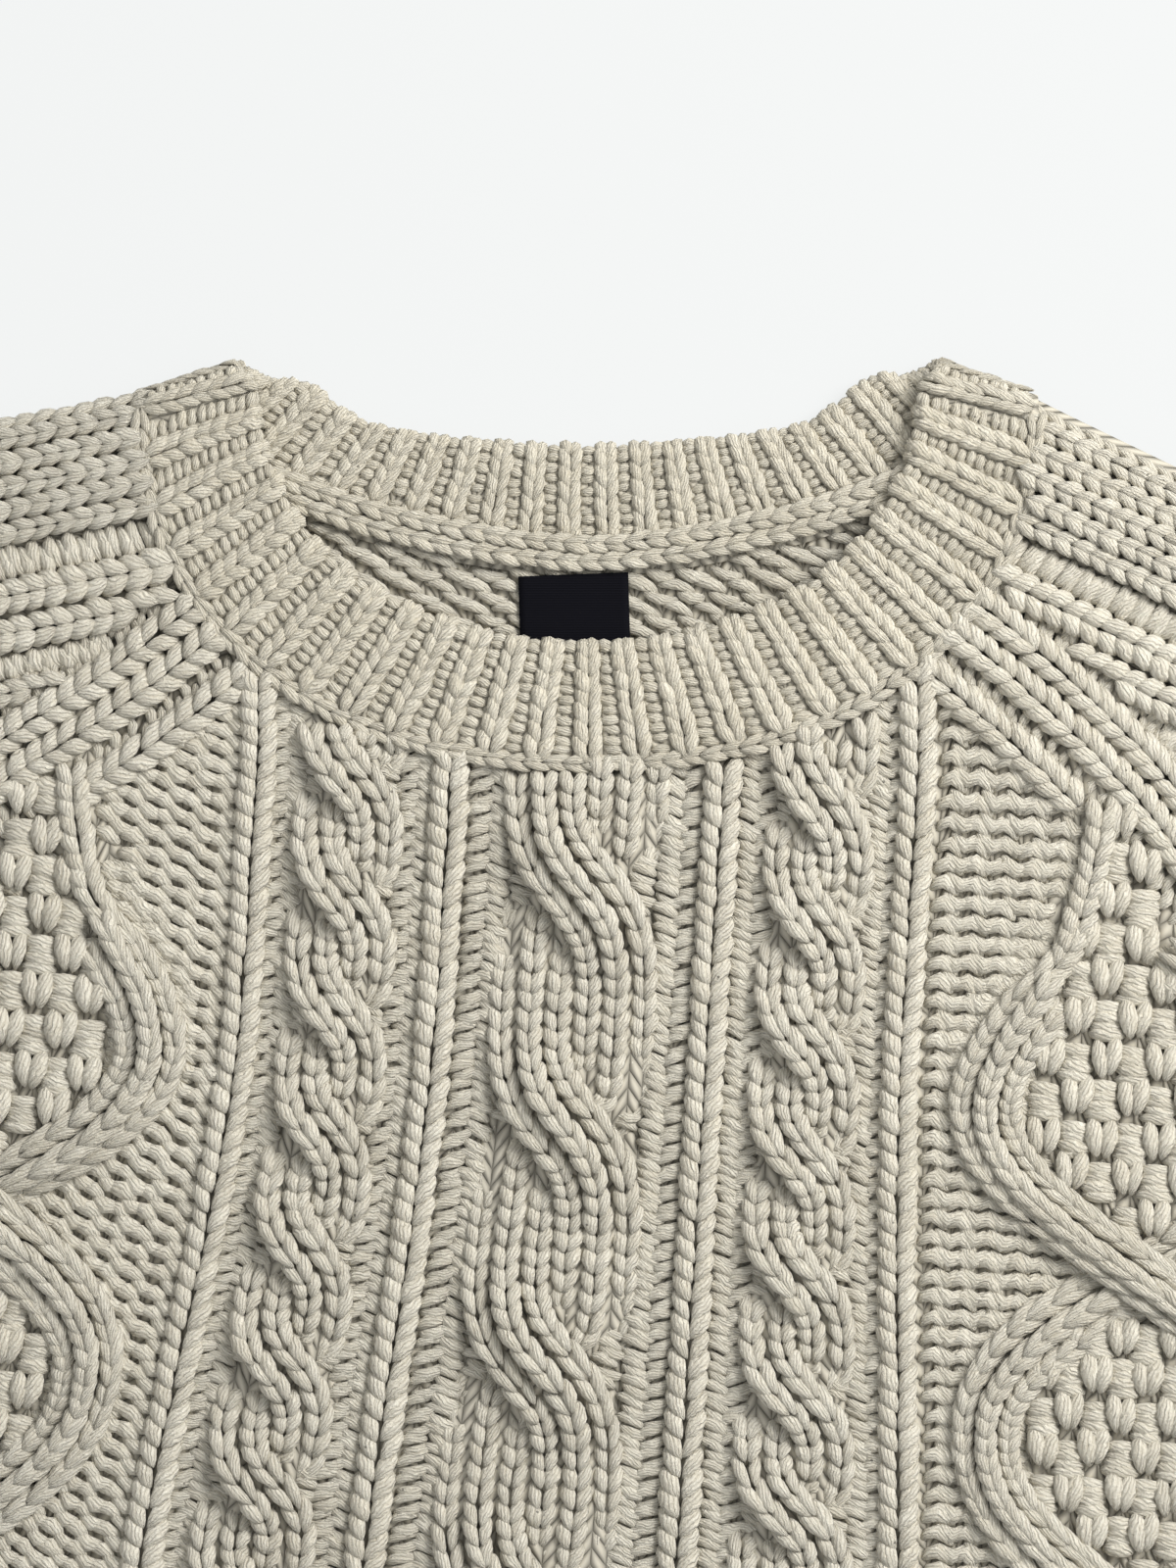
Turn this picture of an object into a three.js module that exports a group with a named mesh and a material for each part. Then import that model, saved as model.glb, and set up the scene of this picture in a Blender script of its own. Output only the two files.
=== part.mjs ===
// Child's cable knit pullover with raglan sleeves, lying flat on its back with its front up.
// Millimetres, +Z up, +Y towards the neck, +X towards the sleeve on the right as seen from above.

import * as THREE from "three";

// Knitted cloth
const wall = 3.6;
const layerGap = 0.3;
const seamGap = 0.35;
const edgeThin = 1.3;
const frontBase = wall + layerGap;
const foldRadius = (2 * wall + layerGap) / 2;

// Body, measured from the foot of the hem at y = 0
const halfChest = 185;
const hemDepth = 48;
const underarmHeight = 270;
const bodyRows = 42;
const ribDrawIn = 0.04;
const ribDrawReach = 90;

// The body lies turned a little against the neck: lower cloth goes left, the right side goes down
const leanSlope = 0.0635;
const leanStart = 344;
const turnNone = 377;
const turnFull = 327;

// Below the chest it also spreads away from its middle and drifts left, the more the lower it lies
const settleFrom = 50;
const settleTo = 200;
const drift = 4;
const spread = 0.16;
const spreadTo = 80;

// Raglan seams, front and back: where they leave the neckband and how they steepen
const raglanFront = { corner: 85 };
const raglanBack = { corner: 75 };
const raglanBendStart = 120;
const raglanBend = 0.0078;

// Neckband edges as flattened scoops: half width, height of the shoulder end, depth and roundness
const neckEdges = {
  frontSeam: { half: 94.5, top: 420, depth: 75, power: 2.2 },
  frontFree: { half: 70.5, top: 425.6, depth: 55.6, power: 2.1 },
  backSeam: { half: 94.5, top: 420, depth: 34.5, power: 1.6 },
  backFree: { half: 70.5, top: 425.6, depth: 13.6, power: 1.7 },
};
const neckWall = 4.5;
const neckFrontBase = 5;
const neckRibs = { front: 13, back: 11, fold: 2 };
const neckRibDepth = 1.4;
const neckHemPart = 0.12;

// Chart of the front from its middle outwards: outer edge of each stitch panel, steps across it
const chart = [
  { stitch: "cable", edge: 17.4, steps: 4 },
  { stitch: "purl", edge: 24.8, steps: 1 },
  { stitch: "wale", edge: 33.2, steps: 2 },
  { stitch: "purl", edge: 38.4, steps: 1 },
  { stitch: "rope", edge: 62, steps: 4 },
  { stitch: "purl", edge: 66, steps: 1 },
  { stitch: "wale", edge: 74.5, steps: 2 },
  { stitch: "diamond", edge: raglanFront.corner, steps: 2 },
  { stitch: "diamond", edge: 172, steps: 12 },
  { stitch: "diamond", edge: halfChest, steps: 2 },
];

// Raised stitches: crossing is the height of one crossing, repeat the distance to the next.
// crossUnder is the share of its height that the strand below loses at a crossing.
const cable = { crossing: 317.7, repeat: 51, high: 4 };
const rope = { crossing: 338.5, repeat: 25.2, high: 3 };
const crossUnder = 0.4;
const waleHigh = 1.5;
const diamond = { middle: 123, swing: 34.5, bulge: 277.7, repeat: 72.5, half: 7, high: 2.4, round: 1.15 };

// The inner side of the first diamond comes down from the raglan: height and distance out
const diamondEntry = [[277.7, 88.5], [290, 92.3], [303, 100.5], [318, 106.5], [328, 108.5]];
const raglanBands = [
  { below: 11, half: 9, high: 1.5, reach: halfChest },
  { below: 31, half: 6, high: 2.2, reach: 112 },
];

// Sleeves: rings across the flat sleeve, from the upper arm to the wrist.
// out and up place the fold on top, tilt turns the ring, width is the flat width.
const sleeveRings = [
  { out: 192, up: 382, tilt: -5, width: 123 },
  { out: 284, up: 316, tilt: 30, width: 103 },
  { out: 366, up: 251, tilt: 39, width: 84 },
];
const sleeveShift = 12;
const sleeveRowsPerRing = 5;
const sleeveSteps = { raglan: 10, neck: 6 };
const sleeveRidges = [
  { fromFold: 11, half: 10, high: 2.8 },
  { fromFold: 36, half: 8, high: 1.5 },
];

// Cuffs
const cuffWidth = 74;
const cuffLength = 46;
const cuffRibs = 8;
const hemRibs = 38;
const ribHigh = 1.4;

// Neck label, sewn to the inside of the back
const label = { left: -14.9, right: 8.6, top: 384.6, length: 21, thick: 0.8, skew: 0.6, slope: 0.04 };

const yarn = { color: 0xd2cbb8, roughness: 0.95, metalness: 0 };
const black = { color: 0x17171a, roughness: 0.8, metalness: 0 };

// Allowance for rounding where a length is compared
const slack = 1e-6;

const smooth = (low, high, value) => THREE.MathUtils.smoothstep(value, low, high);
const mix = THREE.MathUtils.lerp;

// How far the cloth spreads from its middle: most on the outer wales, not at all at the sides
function spreadOut(across) {
  const out = Math.abs(across);
  const fade = (halfChest - out) / (halfChest - spreadTo);
  return spread * Math.sign(across) * Math.min(out, spreadTo * fade);
}

// Turns a place on the body (across from its middle, up from the hem) into a place on the table
function lean(across, up) {
  const down = Math.max(0, leanStart - up);
  const turn = 1 - smooth(turnFull, turnNone, up);
  const settle = smooth(settleFrom, settleTo, down);
  const draw = 1 - ribDrawIn * (1 - smooth(hemDepth, hemDepth + ribDrawReach, up));
  const x = across * draw + (spreadOut(across) - drift) * settle - leanSlope * down;
  const y = up - across * leanSlope * turn;
  return new THREE.Vector2(x, y);
}

// Height of a scooped neck edge at a distance from the middle
function scoopHeight(edge, x) {
  const inside = Math.max(0, 1 - Math.pow(Math.abs(x) / edge.half, edge.power));
  return edge.top - edge.depth * Math.pow(inside, 1 / edge.power);
}

// Point of a scooped neck edge, angle 0 at the middle and a quarter turn at the right shoulder
function scoopPoint(edge, angle) {
  const x = edge.half * Math.pow(Math.sin(angle), 2 / edge.power);
  const y = edge.top - edge.depth * Math.pow(Math.max(0, Math.cos(angle)), 2 / edge.power);
  return new THREE.Vector2(x, y);
}

// Height on the body where a wale meets the neckband's seam, found step by step
function neckMeet(edge, across) {
  const passes = 40;
  const share = 0.7;
  let up = edge.top - edge.depth;
  for (let pass = 0; pass < passes; pass += 1) {
    const place = lean(across, up);
    up += share * (scoopHeight(edge, place.x) - place.y);
  }
  return up;
}

// Height of the raglan seam on the body, at a distance from the body's middle
function raglanHeight(raglan, edge, side, out) {
  const start = neckMeet(edge, side * raglan.corner);
  const bent = raglanBend * Math.pow(Math.max(0, out - raglanBendStart), 2);
  const fullBend = raglanBend * Math.pow(halfChest - raglanBendStart, 2);
  const slope = (start - underarmHeight - fullBend) / (halfChest - raglan.corner);
  return start - slope * (out - raglan.corner) - bent;
}

// Upper end of a wale of the front or back
function panelTop(raglan, edge, across) {
  const out = Math.abs(across);
  const onNeck = out <= raglan.corner;
  const meet = onNeck ? neckMeet(edge, across) : raglanHeight(raglan, edge, Math.sign(across), out);
  return meet - seamGap;
}

// A rounded ridge, 1 at its middle and 0 at its half width
function ridge(offset, half) {
  return Math.sqrt(Math.max(0, 1 - Math.pow(offset / half, 2)));
}

// Two strands that cross each other, the one that falls to the right on top
function twist(offset, up, half, form) {
  const phase = (Math.PI * (up - form.crossing)) / form.repeat + Math.PI / 2;
  const swing = (half / 2) * Math.cos(phase);
  const first = ridge(offset - swing, half / 2) * (1 - crossUnder * Math.max(0, -Math.sin(phase)));
  const second = ridge(offset + swing, half / 2) * (1 - crossUnder * Math.max(0, Math.sin(phase)));
  return form.high * Math.max(first, second);
}

// Distance out of the first diamond's inner side on its way down from the raglan
function entryOut(up) {
  const next = diamondEntry.findIndex((point) => point[0] > up);
  if (next < 0) {
    return diamondEntry[diamondEntry.length - 1][1];
  }
  const [low, high] = [diamondEntry[next - 1], diamondEntry[next]];
  return mix(low[1], high[1], (up - low[0]) / (high[0] - low[0]));
}

// The two travelling bands that close to diamonds
function diamondBands(out, up) {
  const turns = (up - diamond.bulge) / diamond.repeat;
  const part = 2 * Math.abs(turns - Math.round(turns));
  const wave = Math.cos((Math.PI / 2) * Math.pow(part, diamond.round));
  const innerOut = up > diamond.bulge ? entryOut(up) : diamond.middle - diamond.swing * wave;
  const inner = ridge(out - innerOut, diamond.half);
  const outer = ridge(out - diamond.middle - diamond.swing * wave, diamond.half);
  return diamond.high * Math.max(inner, outer);
}

// The wales that run down beside the raglan seam
function raglanRelief(side, out, up) {
  const below = raglanHeight(raglanFront, neckEdges.frontSeam, side, out) - up;
  const heights = raglanBands.map((band) =>
    out < band.reach ? band.high * ridge(below - band.below, band.half) : 0);
  return { below, high: Math.max(...heights) };
}

// Height of the front's stitches over its plain wall
function frontRelief(across, up) {
  const out = Math.abs(across);
  const place = chart.findIndex((panel) => out <= panel.edge + slack);
  const panel = chart[place];
  const inner = place > 0 ? chart[place - 1].edge : -panel.edge;
  const middle = place > 0 ? (inner + panel.edge) / 2 : 0;
  const half = panel.edge - middle;
  if (panel.stitch === "cable") {
    return twist(across, up, half, cable);
  }
  if (panel.stitch === "rope") {
    return twist(across - Math.sign(across) * middle, up, half, rope);
  }
  if (panel.stitch === "wale") {
    return waleHigh * ridge(out - middle, half);
  }
  if (out < raglanFront.corner) {
    return diamondBands(out, up);
  }
  const raglan = raglanRelief(Math.sign(across), out, up);
  const clear = raglan.below > raglanBands[1].below;
  return Math.max(raglan.high, clear ? diamondBands(out, up) : 0);
}

// Collects points and faces of one closed solid
class Solid {
  constructor(flip = false) {
    this.points = [];
    this.faces = [];
    this.flip = flip;
  }

  point(plan, height) {
    this.points.push(plan.x, plan.y, height);
    return this.points.length / 3 - 1;
  }

  triangle(a, b, c) {
    this.faces.push(a, this.flip ? c : b, this.flip ? b : c);
  }

  quad(a, b, c, d) {
    this.triangle(a, b, c);
    this.triangle(a, c, d);
  }

  mesh(name, finish) {
    const shape = new THREE.BufferGeometry();
    shape.setAttribute("position", new THREE.Float32BufferAttribute(this.points, 3));
    shape.setIndex(this.faces);
    shape.computeVertexNormals();
    const mesh = new THREE.Mesh(shape, new THREE.MeshStandardMaterial(finish));
    mesh.name = name;
    return mesh;
  }
}

// Flat underside of a slab whose rows run from foot to top: long strips, and a fan at each side
function underside(solid, low) {
  const rows = low.length - 1;
  const last = low[0].length - 1;
  const foot = low[0];
  const head = low[rows];
  for (let i = 1; i < last - 1; i += 1) {
    solid.quad(foot[i], head[i], head[i + 1], foot[i + 1]);
  }
  for (let j = 0; j < rows; j += 1) {
    solid.triangle(foot[1], low[j][0], low[j + 1][0]);
    solid.triangle(foot[last - 1], low[j + 1][last], low[j][last]);
  }
  solid.triangle(foot[1], head[0], head[1]);
  solid.triangle(foot[last - 1], head[last - 1], head[last]);
}

// A knitted panel over a flat underside; place gives a point's plan, rise its height over the wall
function slab(name, finish, columns, rows, base, thick, place, rise) {
  const solid = new Solid();
  const last = columns.length - 1;
  const isEdge = (i, j) => i === 0 || j === 0 || i === last || j === rows;
  const top = [];
  const low = [];
  for (let j = 0; j <= rows; j += 1) {
    const plans = columns.map((across) => place(across, j / rows));
    const rises = columns.map((across, i) => (isEdge(i, j) ? rise.edge : rise.over(across, j / rows)));
    top.push(plans.map((plan, i) => solid.point(plan, base + thick + rises[i])));
    low.push(plans.map((plan, i) => (isEdge(i, j) ? solid.point(plan, base) : -1)));
  }
  for (let j = 0; j < rows; j += 1) {
    for (let i = 0; i < last; i += 1) {
      solid.quad(top[j][i], top[j][i + 1], top[j + 1][i + 1], top[j + 1][i]);
    }
    solid.quad(low[j + 1][0], low[j][0], top[j][0], top[j + 1][0]);
    solid.quad(low[j][last], low[j + 1][last], top[j + 1][last], top[j][last]);
  }
  for (let i = 0; i < last; i += 1) {
    solid.quad(low[0][i], low[0][i + 1], top[0][i + 1], top[0][i]);
    solid.quad(low[rows][i + 1], low[rows][i], top[rows][i], top[rows][i + 1]);
  }
  underside(solid, low);
  return solid.mesh(name, finish);
}

// Places across a panel, mirrored about the middle, from rows of an outer edge and a step count
function mirroredColumns(rows) {
  const outs = [];
  let inner = 0;
  for (const row of rows) {
    for (let step = 1; step <= row.steps; step += 1) {
      outs.push(mix(inner, row.edge, step / row.steps));
    }
    inner = row.edge;
  }
  return [...outs.map((out) => -out).reverse(), 0, ...outs];
}

function makeFront() {
  const foot = hemDepth + seamGap;
  const heightAt = (across, part) => mix(foot, panelTop(raglanFront, neckEdges.frontSeam, across), part);
  const place = (across, part) => lean(across, heightAt(across, part));
  const rise = { edge: -edgeThin, over: (across, part) => frontRelief(across, heightAt(across, part)) };
  return slab("front", yarn, mirroredColumns(chart), bodyRows, frontBase, wall, place, rise);
}

function makeBack() {
  const rows = [
    { edge: raglanBack.corner, steps: 12 },
    { edge: halfChest, steps: 12 },
  ];
  const foot = hemDepth + seamGap;
  const heightAt = (across, part) => mix(foot, panelTop(raglanBack, neckEdges.backSeam, across), part);
  const place = (across, part) => lean(across, heightAt(across, part));
  return slab("back", yarn, mirroredColumns(rows), 4, 0, wall, place, { edge: 0, over: () => 0 });
}

// Foot rib of the front or back; ribs show on top only, as the underside rests flat
function makeHem(name, base, ribs) {
  const steps = ribs > 0 ? ribs * 2 : 12;
  const columns = [];
  for (let step = 0; step <= steps; step += 1) {
    columns.push(mix(-halfChest, halfChest, step / steps));
  }
  const spacing = (2 * halfChest) / steps;
  const isRib = (across) => Math.round((across + halfChest) / spacing) % 2 === 1;
  const place = (across, part) => lean(across, mix(0, hemDepth - seamGap, part));
  const over = (across) => (ribs > 0 && isRib(across) ? ribHigh : 0);
  return slab(name, yarn, columns, 4, base, wall, place, { edge: ribs > 0 ? -edgeThin : 0, over });
}

// Flat tube of cloth: two layers joined by a round fold along the top and under the arm.
// upper and lower give the plan of each layer, row by row, from the lower fold to the upper one.
function flatTube(name, side, upper, lower, rise, lowerBulge) {
  const solid = new Solid(side > 0);
  const rows = upper.length - 1;
  const last = upper[0].length - 1;
  const foldSteps = 4;
  const over = upper.map((row, j) => row.map((plan, k) => solid.point(plan, 2 * foldRadius + rise(j, k))));
  const under = upper.map((row) => row.map((plan) => solid.point(plan, frontBase)));
  const floorTop = lower.map((row) => row.map((plan) => solid.point(plan, wall)));
  const floor = lower.map((row) => row.map((plan) => solid.point(plan, 0)));

  function fold(column, outward, size) {
    return upper.map((row, j) => {
      const before = upper[Math.max(0, j - 1)][column];
      const after = upper[Math.min(rows, j + 1)][column];
      const along = after.clone().sub(before).normalize();
      const reach = outward * side * foldRadius * size(j);
      const out = new THREE.Vector2(along.y, -along.x).multiplyScalar(reach);
      const points = [];
      for (let step = 1; step < foldSteps; step += 1) {
        const angle = (Math.PI * step) / foldSteps;
        const plan = row[column].clone().addScaledVector(out, Math.sin(angle));
        points.push(solid.point(plan, foldRadius * (1 + Math.cos(angle))));
      }
      return points;
    });
  }
  const topFold = fold(last, -1, () => 1);
  const armFold = fold(0, 1, lowerBulge);

  for (let j = 0; j < rows; j += 1) {
    for (let k = 0; k < last; k += 1) {
      solid.quad(over[j][k], over[j][k + 1], over[j + 1][k + 1], over[j + 1][k]);
      solid.quad(under[j][k + 1], under[j][k], under[j + 1][k], under[j + 1][k + 1]);
      solid.quad(floorTop[j][k], floorTop[j][k + 1], floorTop[j + 1][k + 1], floorTop[j + 1][k]);
      solid.quad(floor[j][k + 1], floor[j][k], floor[j + 1][k], floor[j + 1][k + 1]);
    }
    const rounds = [
      (row) => [over[row][last], ...topFold[row], floor[row][last]],
      (row) => [floor[row][0], ...armFold[row].slice().reverse(), over[row][0]],
      (row) => [floorTop[row][last], under[row][last]],
      (row) => [under[row][0], floorTop[row][0]],
    ];
    for (const round of rounds) {
      const here = round(j);
      const next = round(j + 1);
      for (let step = 0; step < here.length - 1; step += 1) {
        solid.quad(here[step], here[step + 1], next[step + 1], next[step]);
      }
    }
  }

  function endWall(j, forward) {
    const strip = (a, b, c, d) => (forward ? solid.quad(a, b, c, d) : solid.quad(d, c, b, a));
    const corner = (a, b, c) => (forward ? solid.triangle(a, b, c) : solid.triangle(c, b, a));
    for (let k = 0; k < last; k += 1) {
      strip(under[j][k], under[j][k + 1], over[j][k + 1], over[j][k]);
      strip(floor[j][k], floor[j][k + 1], floorTop[j][k + 1], floorTop[j][k]);
    }
    const topRound = [over[j][last], ...topFold[j], floor[j][last]];
    const armRound = [floor[j][0], ...armFold[j].slice().reverse(), over[j][0]];
    const half = foldSteps / 2;
    topRound.slice(0, -1).forEach((point, step) => {
      corner(step < half ? under[j][last] : floorTop[j][last], topRound[step + 1], point);
    });
    armRound.slice(0, -1).forEach((point, step) => {
      corner(step < half ? floorTop[j][0] : under[j][0], armRound[step + 1], point);
    });
    corner(floorTop[j][last], topRound[half], under[j][last]);
    corner(under[j][0], armRound[half], floorTop[j][0]);
  }
  endWall(0, true);
  endWall(rows, false);
  return solid.mesh(name, yarn);
}

// Ends of a sleeve ring: the fold under the arm and the fold on top
function ringEnds(side, ring) {
  const tilt = THREE.MathUtils.degToRad(ring.tilt);
  const top = new THREE.Vector2(side * ring.out, ring.up - side * sleeveShift);
  const down = new THREE.Vector2(-side * Math.sin(tilt), -Math.cos(tilt));
  return { top, foot: top.clone().addScaledVector(down, ring.width) };
}

// Open end of the sleeve: up the raglan seam from the underarm, then along the neckband
function sleeveMouth(side, raglan, edge) {
  const points = [];
  for (let step = 0; step < sleeveSteps.raglan; step += 1) {
    const out = mix(halfChest, raglan.corner, step / sleeveSteps.raglan);
    const place = lean(side * out, raglanHeight(raglan, edge, side, out));
    points.push(place.add(new THREE.Vector2(side * seamGap, 0)));
  }
  const meet = lean(side * raglan.corner, neckMeet(edge, side * raglan.corner));
  const start = Math.asin(Math.pow(Math.min(1, Math.abs(meet.x) / edge.half), edge.power / 2));
  for (let step = 0; step <= sleeveSteps.neck; step += 1) {
    const place = scoopPoint(edge, mix(start, Math.PI / 2, step / sleeveSteps.neck));
    points.push(new THREE.Vector2(side * (place.x + seamGap), place.y));
  }
  return points;
}

// Plan of one layer of a sleeve: every wale runs from the mouth through the rings to the cuff
function sleeveLayer(side, mouth) {
  const rings = sleeveRings.map((ring) => ringEnds(side, ring));
  const first = rings[0];
  const up = first.top.clone().sub(first.foot).normalize();
  const heights = mouth.map((point) => point.clone().sub(first.foot).dot(up));
  const low = heights[0];
  const high = heights[heights.length - 1];
  const wales = mouth.map((point, k) => {
    const part = (heights[k] - low) / (high - low);
    const through = rings.map((ends) => ends.foot.clone().lerp(ends.top, part));
    return new THREE.SplineCurve([point, ...through]);
  });
  const rows = sleeveRings.length * sleeveRowsPerRing;
  const layer = [];
  for (let j = 0; j <= rows; j += 1) {
    layer.push(wales.map((wale) => wale.getPoint(j / rows)));
  }
  return layer;
}

function makeSleeve(name, side) {
  const upper = sleeveLayer(side, sleeveMouth(side, raglanFront, neckEdges.frontSeam));
  const lower = sleeveLayer(side, sleeveMouth(side, raglanBack, neckEdges.backSeam));
  const last = upper[0].length - 1;
  const rise = (j, k) => {
    if (j === 0 || j === upper.length - 1) {
      return -edgeThin;
    }
    const fromFold = upper[j][k].distanceTo(upper[j][last]);
    return Math.max(...sleeveRidges.map((row) => row.high * ridge(fromFold - row.fromFold, row.half)), 0);
  };
  const bulge = (j) => Math.min(1, j / sleeveRowsPerRing);
  return flatTube(name, side, upper, lower, rise, bulge);
}

function makeCuff(name, side) {
  const wrist = sleeveRings[sleeveRings.length - 1];
  const ends = ringEnds(side, wrist);
  const middle = ends.top.clone().lerp(ends.foot, 0.5);
  const across = ends.top.clone().sub(ends.foot).normalize();
  const along = new THREE.Vector2(side * across.y, -side * across.x);
  const steps = cuffRibs * 2;
  const rows = 3;
  const layer = [];
  for (let j = 0; j <= rows; j += 1) {
    const centre = middle.clone().addScaledVector(along, seamGap + (cuffLength * j) / rows);
    const row = [];
    for (let k = 0; k <= steps; k += 1) {
      row.push(centre.clone().addScaledVector(across, cuffWidth * (k / steps - 0.5)));
    }
    layer.push(row);
  }
  const rise = (j, k) => (j > 0 && j < rows && k % 2 === 1 ? ribHigh : 0);
  return flatTube(name, side, layer, layer, rise, () => 1);
}

// Angles that part a scoop's middle line into equal lengths, from its middle to the shoulder
function evenAngles(seam, free, count) {
  const fine = 400;
  const lengths = [0];
  let before = scoopPoint(seam, 0).lerp(scoopPoint(free, 0), 0.5);
  for (let step = 1; step <= fine; step += 1) {
    const angle = (Math.PI / 2) * (step / fine);
    const here = scoopPoint(seam, angle).lerp(scoopPoint(free, angle), 0.5);
    lengths.push(lengths[step - 1] + here.distanceTo(before));
    before = here;
  }
  const angles = [];
  for (let part = 0; part <= count; part += 1) {
    const want = (lengths[fine] * part) / count;
    const step = lengths.findIndex((length) => length >= want - slack);
    angles.push((Math.PI / 2) * (step / fine));
  }
  return angles;
}

// Stations round the right half of the neckband, from the middle of the front to that of the back
function neckStations() {
  const stations = [];
  const { frontSeam, frontFree, backSeam, backFree } = neckEdges;
  const frontMiddle = neckFrontBase + neckWall / 2;
  const backMiddle = neckWall / 2;
  const radius = (frontMiddle - backMiddle) / 2;
  for (const angle of evenAngles(frontSeam, frontFree, neckRibs.front * 2)) {
    const seam = scoopPoint(frontSeam, angle);
    const free = scoopPoint(frontFree, angle);
    stations.push({ seam, free, height: frontMiddle, turn: 0 });
  }
  for (let step = 1; step < neckRibs.fold * 2; step += 1) {
    const turn = (Math.PI * step) / (neckRibs.fold * 2);
    const outward = new THREE.Vector2(0, radius * Math.sin(turn));
    const seam = scoopPoint(frontSeam, Math.PI / 2).add(outward);
    const free = scoopPoint(frontFree, Math.PI / 2).add(outward);
    stations.push({ seam, free, height: frontMiddle - radius * (1 - Math.cos(turn)), turn });
  }
  for (const angle of evenAngles(backSeam, backFree, neckRibs.back * 2).reverse()) {
    const seam = scoopPoint(backSeam, angle);
    const free = scoopPoint(backFree, angle);
    stations.push({ seam, free, height: backMiddle, turn: Math.PI });
  }
  return stations;
}

// Ring of ribbed cloth that lies on itself, folded at both shoulders
function makeNeckband() {
  const right = neckStations();
  const mirror = (station) => ({
    ...station,
    seam: new THREE.Vector2(-station.seam.x, station.seam.y),
    free: new THREE.Vector2(-station.free.x, station.free.y),
  });
  const stations = [...right, ...right.slice(1, -1).reverse().map(mirror)];
  const half = neckWall / 2;
  const solid = new Solid();
  const loops = stations.map((station, index) => {
    const isRib = index % 2 === 0;
    const showsInside = station.turn > Math.PI / 2;
    const outer = half - (isRib || showsInside ? 0 : neckRibDepth);
    const inner = half - (isRib && showsInside ? neckRibDepth : 0);
    const edge = half - edgeThin;
    const section = [
      { part: 0, out: showsInside ? half : edge },
      { part: neckHemPart, out: outer },
      { part: 1 - neckHemPart, out: outer },
      { part: 1, out: showsInside ? half : edge },
      { part: 1, out: -edge },
      { part: 1 - neckHemPart, out: -inner },
      { part: neckHemPart, out: -inner },
      { part: 0, out: -edge },
    ];
    return section.map((row) => {
      const plan = station.seam.clone().lerp(station.free, row.part);
      plan.y += row.out * Math.sin(station.turn);
      return solid.point(plan, station.height + row.out * Math.cos(station.turn));
    });
  });
  loops.forEach((loop, index) => {
    const next = loops[(index + 1) % loops.length];
    loop.forEach((point, step) => {
      const after = (step + 1) % loop.length;
      solid.quad(point, next[step], next[after], loop[after]);
    });
  });
  return solid.mesh("neckband", yarn);
}

function makeLabel() {
  const place = (across, part) => {
    const up = label.top - label.length * (1 - part);
    return new THREE.Vector2(across + label.skew * (1 - part), up + across * label.slope);
  };
  const columns = [0, 1, 2, 3, 4].map((step) => mix(label.left, label.right, step / 4));
  const flat = { edge: 0, over: () => 0 };
  return slab("neck_label", black, columns, 3, frontBase, label.thick, place, flat);
}

// Puts the pieces together with the origin on the table, under the middle of the garment
function makePullover() {
  const group = new THREE.Group();
  group.add(makeFront(), makeBack());
  group.add(makeHem("hem_front", frontBase, hemRibs), makeHem("hem_back", 0, 0));
  group.add(makeSleeve("sleeve_left", -1), makeSleeve("sleeve_right", 1));
  group.add(makeCuff("cuff_left", -1), makeCuff("cuff_right", 1));
  group.add(makeNeckband(), makeLabel());
  const box = new THREE.Box3().setFromObject(group);
  const centre = box.getCenter(new THREE.Vector3());
  group.position.set(-centre.x, -centre.y, -box.min.z);
  return group;
}

export default makePullover();
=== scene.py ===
import math

import bmesh
import bpy
import numpy as np
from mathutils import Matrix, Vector


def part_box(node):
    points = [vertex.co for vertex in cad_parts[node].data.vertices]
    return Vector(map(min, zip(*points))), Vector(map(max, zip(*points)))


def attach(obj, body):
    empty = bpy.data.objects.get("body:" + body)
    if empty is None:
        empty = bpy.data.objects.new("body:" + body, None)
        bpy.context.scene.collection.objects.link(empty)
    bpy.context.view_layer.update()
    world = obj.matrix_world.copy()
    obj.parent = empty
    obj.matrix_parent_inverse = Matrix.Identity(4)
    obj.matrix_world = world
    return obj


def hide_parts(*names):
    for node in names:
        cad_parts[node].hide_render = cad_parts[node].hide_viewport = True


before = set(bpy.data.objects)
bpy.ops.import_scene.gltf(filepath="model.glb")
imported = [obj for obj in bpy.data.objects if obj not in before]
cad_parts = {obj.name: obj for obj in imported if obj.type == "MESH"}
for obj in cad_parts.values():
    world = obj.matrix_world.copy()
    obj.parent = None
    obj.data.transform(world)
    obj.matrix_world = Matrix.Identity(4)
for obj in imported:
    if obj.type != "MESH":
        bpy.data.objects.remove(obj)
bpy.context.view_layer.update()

# Lengths below are in millimetres, up from the foot of the hem and across from the middle
mm = 0.001
dice = np.random.default_rng(11)

body = {
    "halfChest": 185, "hemDepth": 48, "underarm": 270, "wall": 3.6, "frontBase": 3.9,
    "leanSlope": 0.0635, "leanStart": 344, "turnNone": 377, "turnFull": 327,
    "ribDrawIn": 0.04, "ribDrawReach": 90,
    "settleFrom": 50, "settleTo": 200, "drift": 4, "spread": 0.16, "spreadTo": 80,
    "frontCorner": 85, "backCorner": 75, "raglanBendStart": 120, "raglanBend": 0.0078,
}

# Neckband edges as flattened scoops
neckEdges = {
    "frontSeam": {"half": 94.5, "top": 420, "depth": 75, "power": 2.2},
    "frontFree": {"half": 70.5, "top": 425.6, "depth": 55.6, "power": 2.1},
    "backSeam": {"half": 94.5, "top": 420, "depth": 34.5, "power": 1.6},
    "backFree": {"half": 70.5, "top": 425.6, "depth": 13.6, "power": 1.7},
}

# The hem's foot lies this far along Y in the frame
seamLow = neckEdges["frontSeam"]["top"] - neckEdges["frontSeam"]["depth"]
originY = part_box("neckband")[0].y / mm - seamLow


def smoothStep(low, high, value):
    part = np.clip((value - low) / (high - low), 0, 1)
    return part * part * (3 - 2 * part)


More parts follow.
